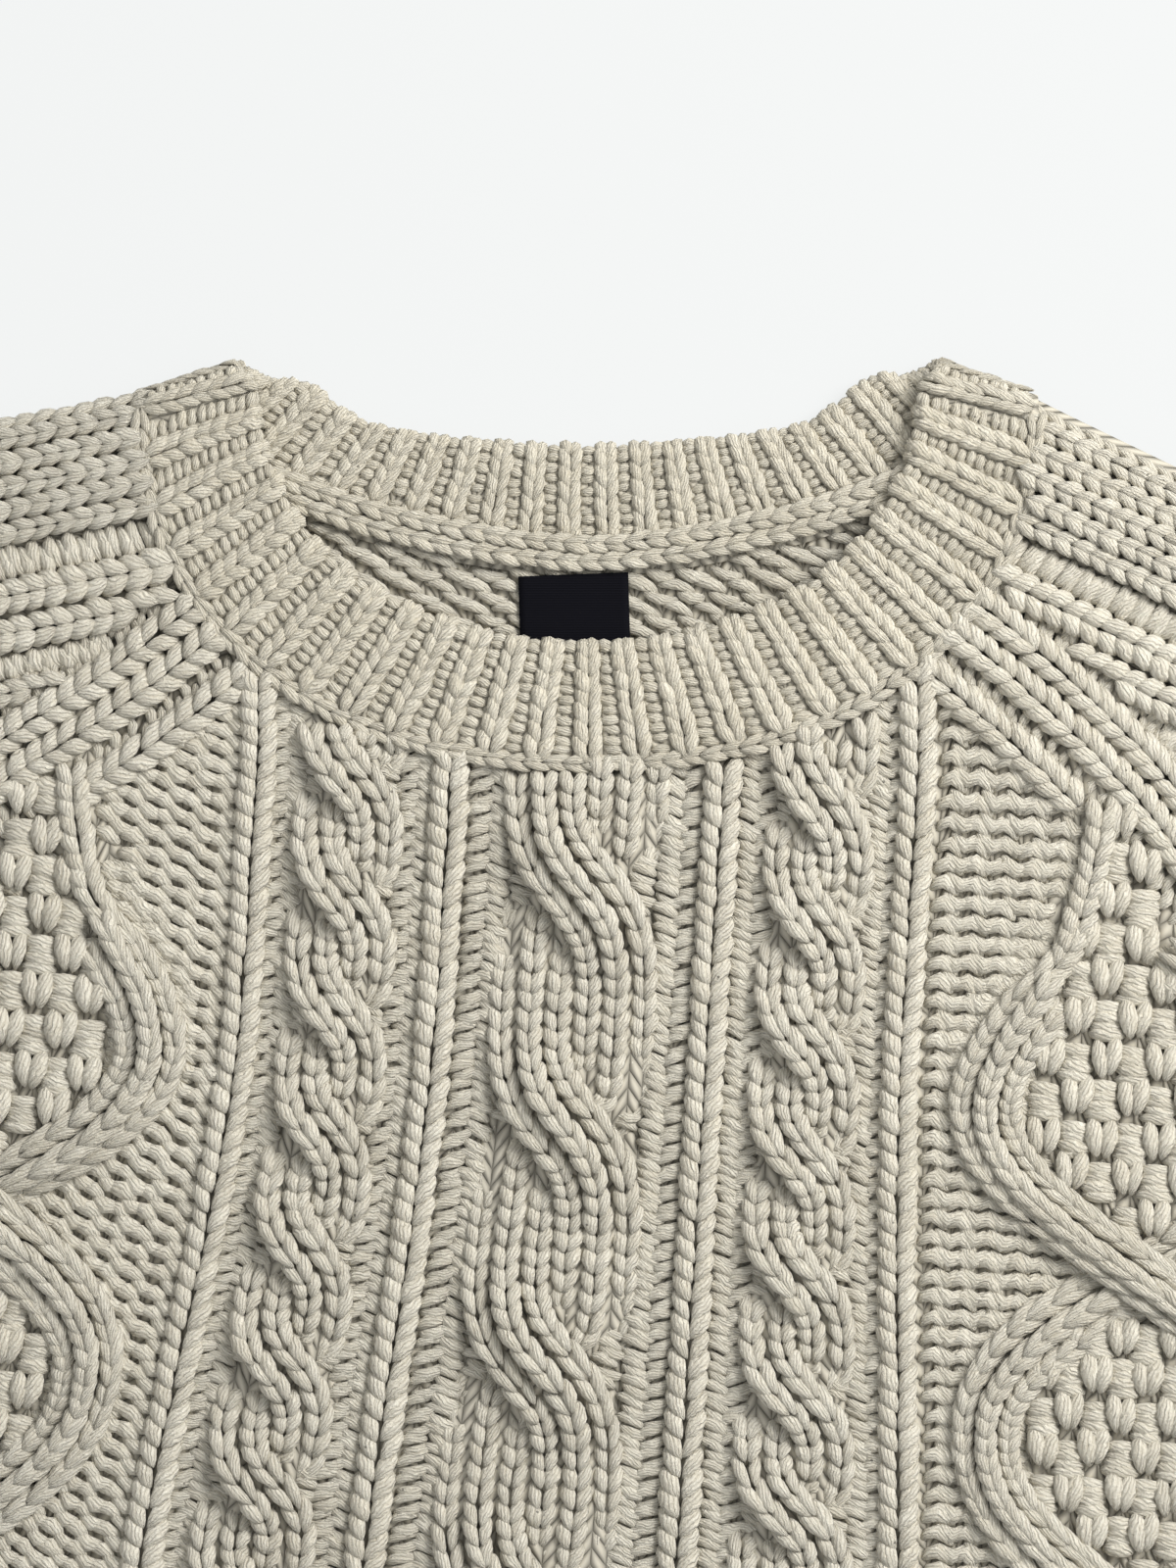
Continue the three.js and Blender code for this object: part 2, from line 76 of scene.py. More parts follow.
def lean(across, up):
    # the garment lies a little turned, and spreads below the chest
    down = np.maximum(0, body["leanStart"] - up)
    turn = 1 - smoothStep(body["turnFull"], body["turnNone"], up)
    settle = smoothStep(body["settleFrom"], body["settleTo"], down)
    draw = 1 - body["ribDrawIn"] * (
        1 - smoothStep(body["hemDepth"], body["hemDepth"] + body["ribDrawReach"], up))
    out = np.abs(across)
    fade = (body["halfChest"] - out) / (body["halfChest"] - body["spreadTo"])
    spread = body["spread"] * np.minimum(out, body["spreadTo"] * fade) * np.sign(across)
    x = across * draw + spread * settle - body["leanSlope"] * down - body["drift"] * settle
    return x, up - across * body["leanSlope"] * turn


def scoopHeight(edge, x):
    inside = np.maximum(0, 1 - np.abs(x / edge["half"]) ** edge["power"])
    return edge["top"] - edge["depth"] * inside ** (1 / edge["power"])


def scoopPoint(edge, angle):
    x = edge["half"] * np.abs(np.sin(angle)) ** (2 / edge["power"])
    y = edge["top"] - edge["depth"] * np.maximum(0, np.cos(angle)) ** (2 / edge["power"])
    return np.stack([x, y], axis=-1)


def neckMeet(edge, across):
    up = np.full(np.shape(across), float(edge["top"] - edge["depth"]))
    for _ in range(40):
        x, y = lean(across, up)
        up = up + 0.7 * (scoopHeight(edge, x) - y)
    return up


def raglanHeight(corner, edge, side, out):
    start = neckMeet(edge, side * corner)
    bent = body["raglanBend"] * np.maximum(0, out - body["raglanBendStart"]) ** 2
    full = body["raglanBend"] * (body["halfChest"] - body["raglanBendStart"]) ** 2
    slope = (start - body["underarm"] - full) / (body["halfChest"] - corner)
    return start - slope * (out - corner) - bent


def panelTop(which, across):
    corner = body[which + "Corner"]
    edge = neckEdges[which + "Seam"]
    across = np.asarray(across, float)
    out = np.abs(across)
    onNeck = neckMeet(edge, np.clip(across, -corner, corner))
    left = raglanHeight(corner, edge, -1, np.maximum(out, corner))
    right = raglanHeight(corner, edge, 1, np.maximum(out, corner))
    return np.where(out <= corner, onNeck, np.where(across < 0, left, right)) - 0.35


# Surfaces: each turns across, along and height over the cloth into a place in the frame

def stack(x, y, z):
    return np.stack(np.broadcast_arrays(x, y, z), axis=-1)


def frontField(across, up, high):
    x, y = lean(across, up)
    return stack(x, y + originY, body["frontBase"] + high)


def backField(across, up, high):
    x, y = lean(across, up)
    return stack(x, y + originY, high)


def makeCurve(points, extend=12.0):
    points = np.asarray(points, float)
    steps = np.linalg.norm(np.diff(points, axis=0), axis=1)
    points = points[np.concatenate([[True], steps > 1e-6])]
    first = points[0] - extend * unit(points[1] - points[0])
    last = points[-1] + extend * unit(points[-1] - points[-2])
    points = np.vstack([first, points, last])
    arcs = np.concatenate([[0], np.cumsum(np.linalg.norm(np.diff(points, axis=0), axis=1))]) - extend
    even = np.arange(arcs[0], arcs[-1], 1.0)
    smooth = np.stack([np.interp(even, arcs, points[:, 0]), np.interp(even, arcs, points[:, 1])], axis=-1)
    along = np.gradient(smooth, axis=0)
    kernel = np.ones(9) / 9
    for axis in (0, 1):
        padded = np.pad(along[:, axis], 4, mode="edge")
        along[:, axis] = np.convolve(padded, kernel, mode="valid")
    along = unit(along)
    return {"arcs": even, "points": smooth, "along": along, "length": arcs[-1] - extend}


def unit(vectors):
    return vectors / np.maximum(1e-9, np.linalg.norm(vectors, axis=-1, keepdims=True))


def curveField(curve, side, base):
    # across is measured square to the curve, towards its right hand where side is 1
    def field(across, along, high):
        x = np.interp(along, curve["arcs"], curve["points"][:, 0])
        y = np.interp(along, curve["arcs"], curve["points"][:, 1])
        tx = np.interp(along, curve["arcs"], curve["along"][:, 0])
        ty = np.interp(along, curve["arcs"], curve["along"][:, 1])
        return stack(x + side * ty * across, y - side * tx * across + originY, base + high)
    return field


def foldField(curve, side, radius):
    # as curveField, but cloth past the curve turns round a fold to the lower layer
    flat = curveField(curve, side, body["frontBase"])

    def field(across, along, high):
        over = np.minimum(0, across)
        angle = np.clip(-over / radius, 0, math.pi)
        reach = radius + high - body["wall"]
        place = flat(np.maximum(0, across) - reach * np.sin(angle), along, high)
        low = radius + reach * np.cos(angle)
        return stack(place[..., 0], place[..., 1], np.where(across < 0, low, place[..., 2]))
    return field


closeUp = {"halfWide": 134, "low": -46}


# Yarn: every leg or bump of a stitch is one short strand, pointed at both ends

def strand(field, across, along, high, radius, flat=0.85, tone=0.0):
    centre = field(across, along, high)
    lift = field(across, along, high + 0.05) - centre
    count = centre.shape[0]
    return {
        "centre": centre, "normal": unit(lift),
        "radius": np.broadcast_to(radius, centre.shape[:2]),
        "flat": np.full(count, flat), "tone": np.full(count, tone) + dice.random(count),
    }


spans = np.array([0, 0.07, 0.22, 0.5, 0.78, 0.93, 1.0])[None, :]
coarse = [0, 2, 3, 4, 6]


def knitWale(field, rows, path, look, offset=0.0):
    # one column of V stitches whose middle follows path(up) -> across, height;
    # the lower tip of each leg lies on the leg below, its upper tip goes under the next
    if len(rows) == 0:
        return []
    s = spans
    row = look["row"]
    width = look["width"]
    count = len(rows)
    made = []
    shared = dice.normal(0, 0.1, (count, 1))
    for side in (-1, 1):
        up = rows[:, None] + row * (look.get("tail", -0.45) + look.get("reach", 1.55) * s)
        up = up + shared + dice.normal(0, look.get("stray", 0.16), (count, 1))
        across, high = path(up)
        slope = (path(up + 0.2)[0] - path(up - 0.2)[0]) / 0.4
        stretch = np.sqrt(1 + slope ** 2)
        lateral = look.get("close", 0.05) + look.get("open", 0.31) * s ** 0.9
        lateral = offset + side * width * lateral
        lateral = lateral + dice.normal(0, 0.12, (count, 1)) + dice.normal(0, 0.22, (count, 1)) * (s - 0.5)
        lift = look["lift"] * np.sin(math.pi * s) + look.get("tip", 0.85) * (0.5 - s) * 2
        lift = lift + dice.normal(0, 0.12, (count, 1))
        size = 1 + dice.normal(0, 0.07, (count, 1))
        radius = look["radius"] * size * np.sin(math.pi * np.clip(s, 0, 1) ** 1.15) ** 0.62
        made.append(strand(field, across + lateral / stretch, up - lateral * slope / stretch,
                           high + lift, radius, look.get("flat", 0.85)))
    return made


def purlBumps(field, across, up, look):
    # heads and feet of purl stitches: one arch up, and half a stitch on, one arch down
    if len(across) == 0:
        return []
    s = spans
    row = look["row"]
    width = look["width"]
    made = []
    for bow, shift, rise in ((1, 0.0, 0.0), (-1, look.get("shift", 0.5), 0.5)):
        count = len(across)
        middle = across[:, None] + width * shift + dice.normal(0, 0.2, (count, 1))
        level = up[:, None] + row * rise + dice.normal(0, 0.16, (count, 1))
        reach = width * look.get("reach", 1.04) * (1 + dice.normal(0, 0.06, (count, 1))) * (s - 0.5)
        droop = (look.get("tilt", 0.2) * row + dice.normal(0, 0.22, (count, 1))) * (0.5 - s) * 2
        arch = bow * row * (look.get("bow", 0.24) * (np.sin(math.pi * s) - 0.5))
        high = look["high"] + look["lift"] * np.sin(math.pi * s) ** 0.8 + dice.normal(0, 0.1, (count, 1))
        size = 1 + dice.normal(0, 0.08, (count, 1))
        radius = look["radius"] * size * np.sin(math.pi * np.clip(s, 0, 1)) ** 0.55
        made.append(strand(field, middle + reach, level + arch + droop, high, radius,
                           look.get("flat", 0.95)))
    return made


def isNear(middle):
    # inside the photo's frame, or close to it
    return (np.abs(middle[:, 0]) < closeUp["halfWide"]) & (middle[:, 1] > closeUp["low"])


def keepInside(strands, test):
    # keeps the strands whose middle passes the test
    kept = []
    for piece in strands:
        middle = piece["centre"][:, piece["centre"].shape[1] // 2]
        mask = test(middle[:, 0], middle[:, 1])
        kept.append({key: value[mask] for key, value in piece.items()})
    return kept


def yarnPieces(name, strands, material):
    # strands in the photo's frame are finer than those outside it
    joined = {key: np.concatenate([piece[key] for piece in strands]) for key in strands[0]}
    near = isNear(joined["centre"][:, 3])
    made = []
    if near.any():
        part = {key: value[near] for key, value in joined.items()}
        made.append(yarnPiece(name, part, 6, material))
    if not near.all():
        part = {key: value[~near] for key, value in joined.items()}
        part["centre"] = part["centre"][:, coarse]
        part["normal"] = part["normal"][:, coarse]
        part["radius"] = part["radius"][:, coarse]
        made.append(yarnPiece(f"{name}_far", part, 5, material))
    return made


def yarnPiece(name, joined, sides, material):
    centre = joined["centre"]
    count, stations = centre.shape[:2]
    rings = stations - 2
    along = unit(np.gradient(centre, axis=1))
    across = unit(np.cross(along, joined["normal"]))
    upward = np.cross(across, along)
    angles = 2 * math.pi * np.arange(sides) / sides - math.pi / 2
    turn = (np.cos(angles)[:, None] * across[:, 1:-1, None]
            + joined["flat"][:, None, None, None] * np.sin(angles)[:, None] * upward[:, 1:-1, None])
    hoops = centre[:, 1:-1, None] + joined["radius"][:, 1:-1, None, None] * turn
    points = np.concatenate([hoops.reshape(count, rings * sides, 3), centre[:, :1], centre[:, -1:]], axis=1)
    points[..., 2] = np.maximum(points[..., 2], 0)  # the table
    each = rings * sides + 2
    corners, starts, around, station = [], [], [], []
    for ring in range(rings - 1):
        for k in range(sides):
            after = (k + 1) % sides
            starts.append(len(corners))
            corners += [ring * sides + k, (ring + 1) * sides + k, (ring + 1) * sides + after,
                        ring * sides + after]
            around += [k, k, k + 1, k + 1]
            station += [ring + 1, ring + 2, ring + 2, ring + 1]
    for ring, pole, order in ((0, each - 2, 1), (rings - 1, each - 1, -1)):
        for k in range(sides):
            pair = [ring * sides + k, ring * sides + (k + 1) % sides][::order]
            starts.append(len(corners))
            corners += pair + [pole]
            around += [k, k + 1][::order] + [k + 0.5]
            station += [ring + 1, ring + 1, 0 if order == 1 else stations - 1]
    corners, starts = np.array(corners), np.array(starts)
    first = np.arange(count)[:, None]
    loops = (corners[None] + first * each).ravel().astype(np.int32)
    loopStarts = (starts[None] + first * len(corners)).ravel().astype(np.int32)
    arcs = np.concatenate([np.zeros((count, 1)),
                           np.cumsum(np.linalg.norm(np.diff(centre, axis=1), axis=2), axis=1)], axis=1)
    arcs = arcs + dice.random((count, 1)) * 40
    uv = np.stack([np.broadcast_to(np.array(around) / sides, (count, len(corners))), arcs[:, station]],
                  axis=-1)
    mesh = bpy.data.meshes.new(name)
    mesh.vertices.add(count * each)
    mesh.vertices.foreach_set("co", (points.reshape(-1) * mm).astype(np.float32))
    mesh.loops.add(len(loops))
    mesh.loops.foreach_set("vertex_index", loops)
    mesh.polygons.add(len(loopStarts))
    mesh.polygons.foreach_set("loop_start", loopStarts)
    mesh.update(calc_edges=True)
    layer = mesh.uv_layers.new(name="strand")
    layer.data.foreach_set("uv", uv.reshape(-1).astype(np.float32))
    mesh.polygons.foreach_set("use_smooth", np.ones(len(loopStarts), bool))
    tone = mesh.attributes.new("tone", "FLOAT", "POINT")
    tone.data.foreach_set("value", np.repeat(joined["tone"], each).astype(np.float32))
    mesh.materials.append(material)
    piece = bpy.data.objects.new(name, mesh)
    bpy.context.scene.collection.objects.link(piece)
    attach(piece, "root")
    triangles = count * (2 * sides * (rings - 1) + 2 * sides)
    print(f"{name}: {count} strands, {triangles} triangles")
    totals.append(triangles)
    return piece


totals = []


# Materials

def link(tree, source, target):
    tree.links.new(source, target)


def addNode(tree, kind, **values):
    node = tree.nodes.new(kind)
    for name, value in values.items():
        setattr(node, name, value)
    return node


def mathNode(tree, operation, first, second=None):
    node = addNode(tree, "ShaderNodeMath", operation=operation)
    for slotNumber, value in enumerate((first, second)):
        if value is None:
            continue
        if isinstance(value, (int, float)):
            node.inputs[slotNumber].default_value = value
        else:
            link(tree, value, node.inputs[slotNumber])
    return node.outputs[0]


def makePlyGroup():
    # twisted plies and loose fibres on one strand of yarn, with painted shade in the grooves between plies
    group = bpy.data.node_groups.new("pliedYarn", "ShaderNodeTree")
    for name, kind in (("Light", "NodeSocketColor"), ("Dark", "NodeSocketColor"),
                       ("Plies", "NodeSocketFloat"),
                       ("Turns", "NodeSocketFloat"), ("Lint", "NodeSocketFloat")):
        group.interface.new_socket(name, in_out="INPUT", socket_type=kind)
    for name, kind in (("Color", "NodeSocketColor"), ("Height", "NodeSocketFloat")):
        group.interface.new_socket(name, in_out="OUTPUT", socket_type=kind)
    inside = addNode(group, "NodeGroupInput")
    outside = addNode(group, "NodeGroupOutput")
    place = addNode(group, "ShaderNodeTexCoord")
    strandMap = addNode(group, "ShaderNodeUVMap", uv_map="strand")
    split = addNode(group, "ShaderNodeSeparateXYZ")
    link(group, strandMap.outputs[0], split.inputs[0])
    tone = addNode(group, "ShaderNodeAttribute", attribute_name="tone")
    waver = addNode(group, "ShaderNodeTexNoise")
    waver.inputs["Scale"].default_value = 380
    waver.inputs["Detail"].default_value = 2
    link(group, place.outputs["Object"], waver.inputs["Vector"])
    turns = mathNode(group, "MULTIPLY", split.outputs[1], inside.outputs["Turns"])
    plies = mathNode(group, "MULTIPLY", split.outputs[0], inside.outputs["Plies"])
    phase = mathNode(group, "ADD", mathNode(group, "ADD", turns, plies),
                     mathNode(group, "MULTIPLY", waver.outputs["Fac"], 1.6))
    wave = mathNode(group, "ABSOLUTE", mathNode(group, "SINE", mathNode(group, "MULTIPLY", phase, math.pi)))
    ply = mathNode(group, "POWER", wave, 0.7)
    # fibres run along the plies
    along = addNode(group, "ShaderNodeCombineXYZ")
    link(group, mathNode(group, "MULTIPLY", phase, 2.4), along.inputs[0])
    link(group, mathNode(group, "MULTIPLY", split.outputs[1], 0.55), along.inputs[1])
    link(group, mathNode(group, "MULTIPLY", tone.outputs["Fac"], 60), along.inputs[2])
    fibre = addNode(group, "ShaderNodeTexNoise")
    fibre.inputs["Scale"].default_value = 1.0
    fibre.inputs["Detail"].default_value = 4
    fibre.inputs["Roughness"].default_value = 0.65
    link(group, along.outputs[0], fibre.inputs["Vector"])
    fuzz = addNode(group, "ShaderNodeTexNoise")
    fuzz.inputs["Scale"].default_value = 1900
    fuzz.inputs["Detail"].default_value = 3
    fuzz.inputs["Roughness"].default_value = 0.7
    link(group, place.outputs["Object"], fuzz.inputs["Vector"])
    patch = addNode(group, "ShaderNodeTexNoise")
    patch.inputs["Scale"].default_value = 45
    patch.inputs["Detail"].default_value = 3
    link(group, place.outputs["Object"], patch.inputs["Vector"])
    height = mathNode(group, "ADD", mathNode(group, "MULTIPLY", ply, 0.45),
                      mathNode(group, "MULTIPLY", fibre.outputs["Fac"], 1.1))
    height = mathNode(group, "ADD", height, mathNode(group, "MULTIPLY", fuzz.outputs["Fac"], 0.6))
    link(group, height, outside.inputs["Height"])
    # painted shade: the grooves between the plies are coloured darker; per-strand tone, fibres, fuzz and
    # patches are the yarn's own colour changes
    toneAndGrooveShade = mathNode(group, "ADD", mathNode(group, "MULTIPLY", ply, 0.34),
                     mathNode(group, "MULTIPLY", tone.outputs["Fac"], 0.16))
    toneAndGrooveShade = mathNode(group, "ADD", toneAndGrooveShade, mathNode(group, "MULTIPLY", fibre.outputs["Fac"], 1.1))
    toneAndGrooveShade = mathNode(group, "ADD", toneAndGrooveShade, mathNode(group, "MULTIPLY", fuzz.outputs["Fac"], 0.3))
    toneAndGrooveShade = mathNode(group, "ADD", toneAndGrooveShade, mathNode(group, "MULTIPLY", patch.outputs["Fac"], 0.25))
    ramp = addNode(group, "ShaderNodeMapRange")
    ramp.inputs["From Min"].default_value = 0.7
    ramp.inputs["From Max"].default_value = 1.45
    link(group, toneAndGrooveShade, ramp.inputs["Value"])
    yarnMix = addNode(group, "ShaderNodeMix", data_type="RGBA")
    link(group, ramp.outputs[0], yarnMix.inputs["Factor"])
    link(group, inside.outputs["Dark"], yarnMix.inputs[6])
    link(group, inside.outputs["Light"], yarnMix.inputs[7])
    speck = addNode(group, "ShaderNodeTexVoronoi")
    speck.inputs["Scale"].default_value = 110
    link(group, place.outputs["Object"], speck.inputs["Vector"])
    spot = mathNode(group, "LESS_THAN", speck.outputs["Distance"], 0.035)
    spot = mathNode(group, "MULTIPLY", spot, inside.outputs["Lint"])
    lintMix = addNode(group, "ShaderNodeMix", data_type="RGBA")
    link(group, spot, lintMix.inputs["Factor"])
    link(group, yarnMix.outputs[2], lintMix.inputs[6])
    lintMix.inputs[7].default_value = (0.07, 0.065, 0.04, 1)
    link(group, lintMix.outputs[2], outside.inputs["Color"])
    return group


def makeKnitGroup():
    # rows of small V stitches pressed into hidden or flat cloth; the height also sets the painted shade in
    # the grooves
    group = bpy.data.node_groups.new("knitFace", "ShaderNodeTree")
    for name in ("Wale", "Row"):
        group.interface.new_socket(name, in_out="INPUT", socket_type="NodeSocketFloat")
    group.interface.new_socket("Height", in_out="OUTPUT", socket_type="NodeSocketFloat")
    inside = addNode(group, "NodeGroupInput")
    outside = addNode(group, "NodeGroupOutput")
    clothMap = addNode(group, "ShaderNodeUVMap", uv_map="cloth")
    split = addNode(group, "ShaderNodeSeparateXYZ")
    link(group, clothMap.outputs[0], split.inputs[0])
    column = mathNode(group, "DIVIDE", split.outputs[0], inside.outputs["Wale"])
    fold = mathNode(group, "ABSOLUTE", mathNode(group, "SUBTRACT", mathNode(group, "FRACT", column), 0.5))
    line = mathNode(group, "SUBTRACT", mathNode(group, "DIVIDE", split.outputs[1], inside.outputs["Row"]),
                    mathNode(group, "MULTIPLY", fold, 2.2))
    leg = mathNode(group, "ABSOLUTE", mathNode(group, "SINE", mathNode(group, "MULTIPLY", line, math.pi)))
    side = mathNode(group, "SINE", mathNode(group, "MULTIPLY", fold, 2 * math.pi))
    height = mathNode(group, "MULTIPLY", mathNode(group, "POWER", leg, 0.6),
                      mathNode(group, "POWER", mathNode(group, "ABSOLUTE", side), 0.5))
    link(group, height, outside.inputs["Height"])
    return group


plyGroup = makePlyGroup()
knitGroup = makeKnitGroup()


def makeYarn(name, light, dark, plies=11.0, turns=0.32, depth=0.8):
    material = bpy.data.materials.new(name)
    material.use_nodes = True
    tree = material.node_tree
    shader = tree.nodes["Principled BSDF"]
    shader.inputs["Roughness"].default_value = 0.92
    shader.inputs["Sheen Weight"].default_value = 0.18
    shader.inputs["Sheen Roughness"].default_value = 0.6
    shader.inputs["Specular IOR Level"].default_value = 0.25
    ply = addNode(tree, "ShaderNodeGroup", node_tree=plyGroup)
    ply.inputs["Light"].default_value = (*light, 1)
    ply.inputs["Dark"].default_value = (*dark, 1)
    ply.inputs["Plies"].default_value = plies
    ply.inputs["Turns"].default_value = turns
    ply.inputs["Lint"].default_value = 0.7
    bump = addNode(tree, "ShaderNodeBump")
    bump.inputs["Strength"].default_value = 1.0
    bump.inputs["Distance"].default_value = depth * mm
    link(tree, ply.outputs["Height"], bump.inputs["Height"])
    link(tree, bump.outputs["Normal"], shader.inputs["Normal"])
    link(tree, ply.outputs["Color"], shader.inputs["Base Color"])
    return material


def makeCloth(name, color, wale, row, depth):
    material = bpy.data.materials.new(name)
    material.use_nodes = True
    tree = material.node_tree
    shader = tree.nodes["Principled BSDF"]
    shader.inputs["Roughness"].default_value = 0.95
    shader.inputs["Specular IOR Level"].default_value = 0.1
    knit = addNode(tree, "ShaderNodeGroup", node_tree=knitGroup)
    knit.inputs["Wale"].default_value = wale
    knit.inputs["Row"].default_value = row
    # painted shade: the grooves of the knit pattern are coloured 0.4 times as bright as the rest
    tint = addNode(tree, "ShaderNodeMix", data_type="RGBA")
    tint.inputs[6].default_value = (*[0.4 * part for part in color], 1)
    tint.inputs[7].default_value = (*color, 1)
    link(tree, knit.outputs["Height"], tint.inputs["Factor"])
    link(tree, tint.outputs[2], shader.inputs["Base Color"])
    bump = addNode(tree, "ShaderNodeBump")
    bump.inputs["Distance"].default_value = depth * mm
    link(tree, knit.outputs["Height"], bump.inputs["Height"])
    link(tree, bump.outputs["Normal"], shader.inputs["Normal"])
    return material


yarnLook = {"light": (0.96, 0.915, 0.785), "dark": (0.57, 0.51, 0.385)}
neckLook = {"light": (0.965, 0.91, 0.765), "dark": (0.58, 0.515, 0.375)}
bodyYarn = makeYarn("bodyYarn", yarnLook["light"], yarnLook["dark"])
neckYarn = makeYarn("neckYarn", neckLook["light"], neckLook["dark"])
# painted shade: the cloth under the stitches is coloured darker than the yarn, so the gaps between stitches
# look shaded
innerClothPaintedShade = makeCloth("innerClothPaintedShade", (0.6, 0.56, 0.465), 6, 4.2, 0.8)
print("materials made")


# Thin shells of cloth under the stitches

def gridPiece(name, across, along, place, size, thick, material, closed=False):
    # place(p, q) gives the outer face; the wall goes thick below it
    form = bmesh.new()
    layer = form.loops.layers.uv.new("cloth")
    bmesh.ops.create_grid(form, x_segments=across, y_segments=along, size=1)
    flat = np.array([point.co for point in form.verts])
    low, high = flat.min(0), flat.max(0)
    p = (flat[:, 0] - low[0]) / (high[0] - low[0])
    q = (flat[:, 1] - low[1]) / (high[1] - low[1])
    for face in form.faces:
        face.smooth = True
        for loop in face.loops:
            number = loop.vert.index
            loop[layer].uv = (p[number] * size[0], q[number] * size[1])
    places = place(p, q) * mm
    for point, spot in zip(form.verts, places):
        point.co = spot
    if closed:
        bmesh.ops.remove_doubles(form, verts=form.verts, dist=0.02 * mm)
        bmesh.ops.recalc_face_normals(form, faces=form.faces)
    elif sum(face.normal.z for face in form.faces) < 0:
        bmesh.ops.reverse_faces(form, faces=form.faces)
    bmesh.ops.solidify(form, geom=form.faces, thickness=thick * mm)
    mesh = bpy.data.meshes.new(name)
    form.to_mesh(mesh)
    form.free()
    mesh.materials.append(material)
    piece = bpy.data.objects.new(name, mesh)
    bpy.context.scene.collection.objects.link(piece)
    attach(piece, "root")
    mesh.calc_loop_triangles()
    print(f"{name}: {len(mesh.loop_triangles)} triangles")
    totals.append(len(mesh.loop_triangles))
    return piece


# Front chart, from the middle outwards: the edges of its columns and the paths of its strands

chart = {
    "waleIn": (24.8, 33.2), "ropeEdges": (38.4, 62.0), "waleOut": (66.0, 74.5),
    "row": 4.2,
}
cable = {"crossing": 317.7, "repeat": 51, "swing": 9.1, "high": 4.4, "dome": 2.0, "round": 1.3, "over": 2.9,
         "steep": 1.5, "under": 4.0, "covered": 0.94}
rope = {"crossing": 338.5, "repeat": 25.2, "swing": 6.1, "high": 4.6, "dome": 0.0, "round": 1.0, "over": 2.7,
        "steep": 0.8, "under": 2.5, "covered": 0.86}
diamond = {"middle": 123, "swing": 34.5, "bulge": 277.7, "repeat": 72.5, "high": 4.4, "dome": 1.7,
           "over": 1.9, "half": 7.8, "gap": 6.0}
legLook = {"row": 4.2, "width": 6.0, "radius": 1.75, "lift": 0.5}
purlLook = {"row": 4.2, "width": 6.0, "radius": 1.85, "lift": 0.7, "high": 2.0}


def strandPath(form, middle, side):
    # middle line of one strand of a cable or rope; side 1 is the one on top at the first crossing
    def path(up):
        phase = math.pi * (up - form["crossing"]) / form["repeat"] + math.pi / 2
        # the strand below changes sides at once, out of sight
        steep = np.where(side * np.sin(phase) > 0, form["steep"], form["under"])
        bend = np.tanh(steep * np.cos(phase)) / np.tanh(steep)
        over = side * np.sin(phase) * np.abs(np.sin(phase))
        return middle + side * form["swing"] * bend, form["high"] + form["over"] * over
    return path


def rounded(path, form, middle, number, offset):
    # wales at the edges of the whole lie lower, the middle wale of a crossing strand higher
    def moved(up):
        across, high = path(up)
        crossing = np.abs(np.sin(math.pi * (up - form["crossing"]) / form["repeat"] + math.pi / 2))
        edge = np.abs(across + offset - middle) / (form["swing"] + 6)
        return across, high + form["dome"] * (1 - abs(number)) * crossing - form["round"] * edge ** 2
    return moved


def raisedBy(path, extra):
    def raised(up):
        across, high = path(up)
        return across, high + extra
    return raised


def straight(middle, high):
    def path(up):
        return middle + 0 * up, high + 0 * up
    return path


# First diamond's upper inner side runs into the wale along the raglan
entryUp = [277.7, 284, 290, 296.6, 303, 310, 318, 328, 340]
entryOut = [88.5, 89.8, 92.3, 96.5, 100.5, 104, 106.5, 108.5, 110]


def diamondTrack(inner, up):
    turns = (up - diamond["bulge"]) / diamond["repeat"]
    part = np.abs(turns - np.round(turns)) * 2
    wave = np.cos(math.pi / 2 * np.clip(part, 0, 1) ** 1.15)
    track = diamond["middle"] + (-1 if inner else 1) * diamond["swing"] * wave
    if inner:
        return np.where(up > diamond["bulge"], np.interp(up, entryUp, entryOut), track)
    return track


def diamondPath(first, side):
    # first: the strand that is the inner side of the first diamond
    def path(up):
        number = np.round((up - diamond["bulge"]) / diamond["repeat"])
        number = np.minimum(number, 0)
        isInner = (np.abs(number) % 2 == 0) == first
        out = np.where(isInner, diamondTrack(True, up), diamondTrack(False, up))
        level = diamond["high"] + 0 * up
        for crossing in range(4):
            height = diamond["bulge"] - diamond["repeat"] * (crossing + 0.5)
            innerAbove = (crossing % 2 == 0) == first
            onTop = innerAbove == (side > 0)
            near = np.exp(-((up - height) / 8) ** 2)
            level = level + (diamond["over"] if onTop else -diamond["over"]) * near
        return side * out, level
    return path


def raglanCurve(side):
    outs = np.linspace(body["halfChest"], body["frontCorner"], 60)
    x, y = lean(side * outs, raglanHeight(body["frontCorner"], neckEdges["frontSeam"], side, outs))
    return makeCurve(np.stack([x, y], axis=-1))


raglanCurves = {side: raglanCurve(side) for side in (-1, 1)}


def belowRaglan(side, across, up):
    # how far a place lies below the raglan seam, square to it
    x, y = lean(across, up)
    curve = raglanCurves[side]
    points = curve["points"]
    spots = np.stack([x, y], axis=-1).reshape(-1, 2)
    gap = np.empty(len(spots))
    for start in range(0, len(spots), 2000):
        part = spots[start:start + 2000]
        away = part[:, None] - points[None]
        nearest = np.argmin((away ** 2).sum(-1), axis=1)
        along = curve["along"][nearest]
        offset = part - points[nearest]
        gap[start:start + 2000] = side * (-along[:, 1] * offset[:, 0] + along[:, 0] * offset[:, 1])
    # under the arm the seam has ended
    corner = int(np.searchsorted(curve["arcs"], 0))
    ahead = (spots - points[corner]) @ curve["along"][corner]
    gap[ahead < 1.0] = 99
    return gap.reshape(np.shape(x))


foot = body["hemDepth"] + 0.5


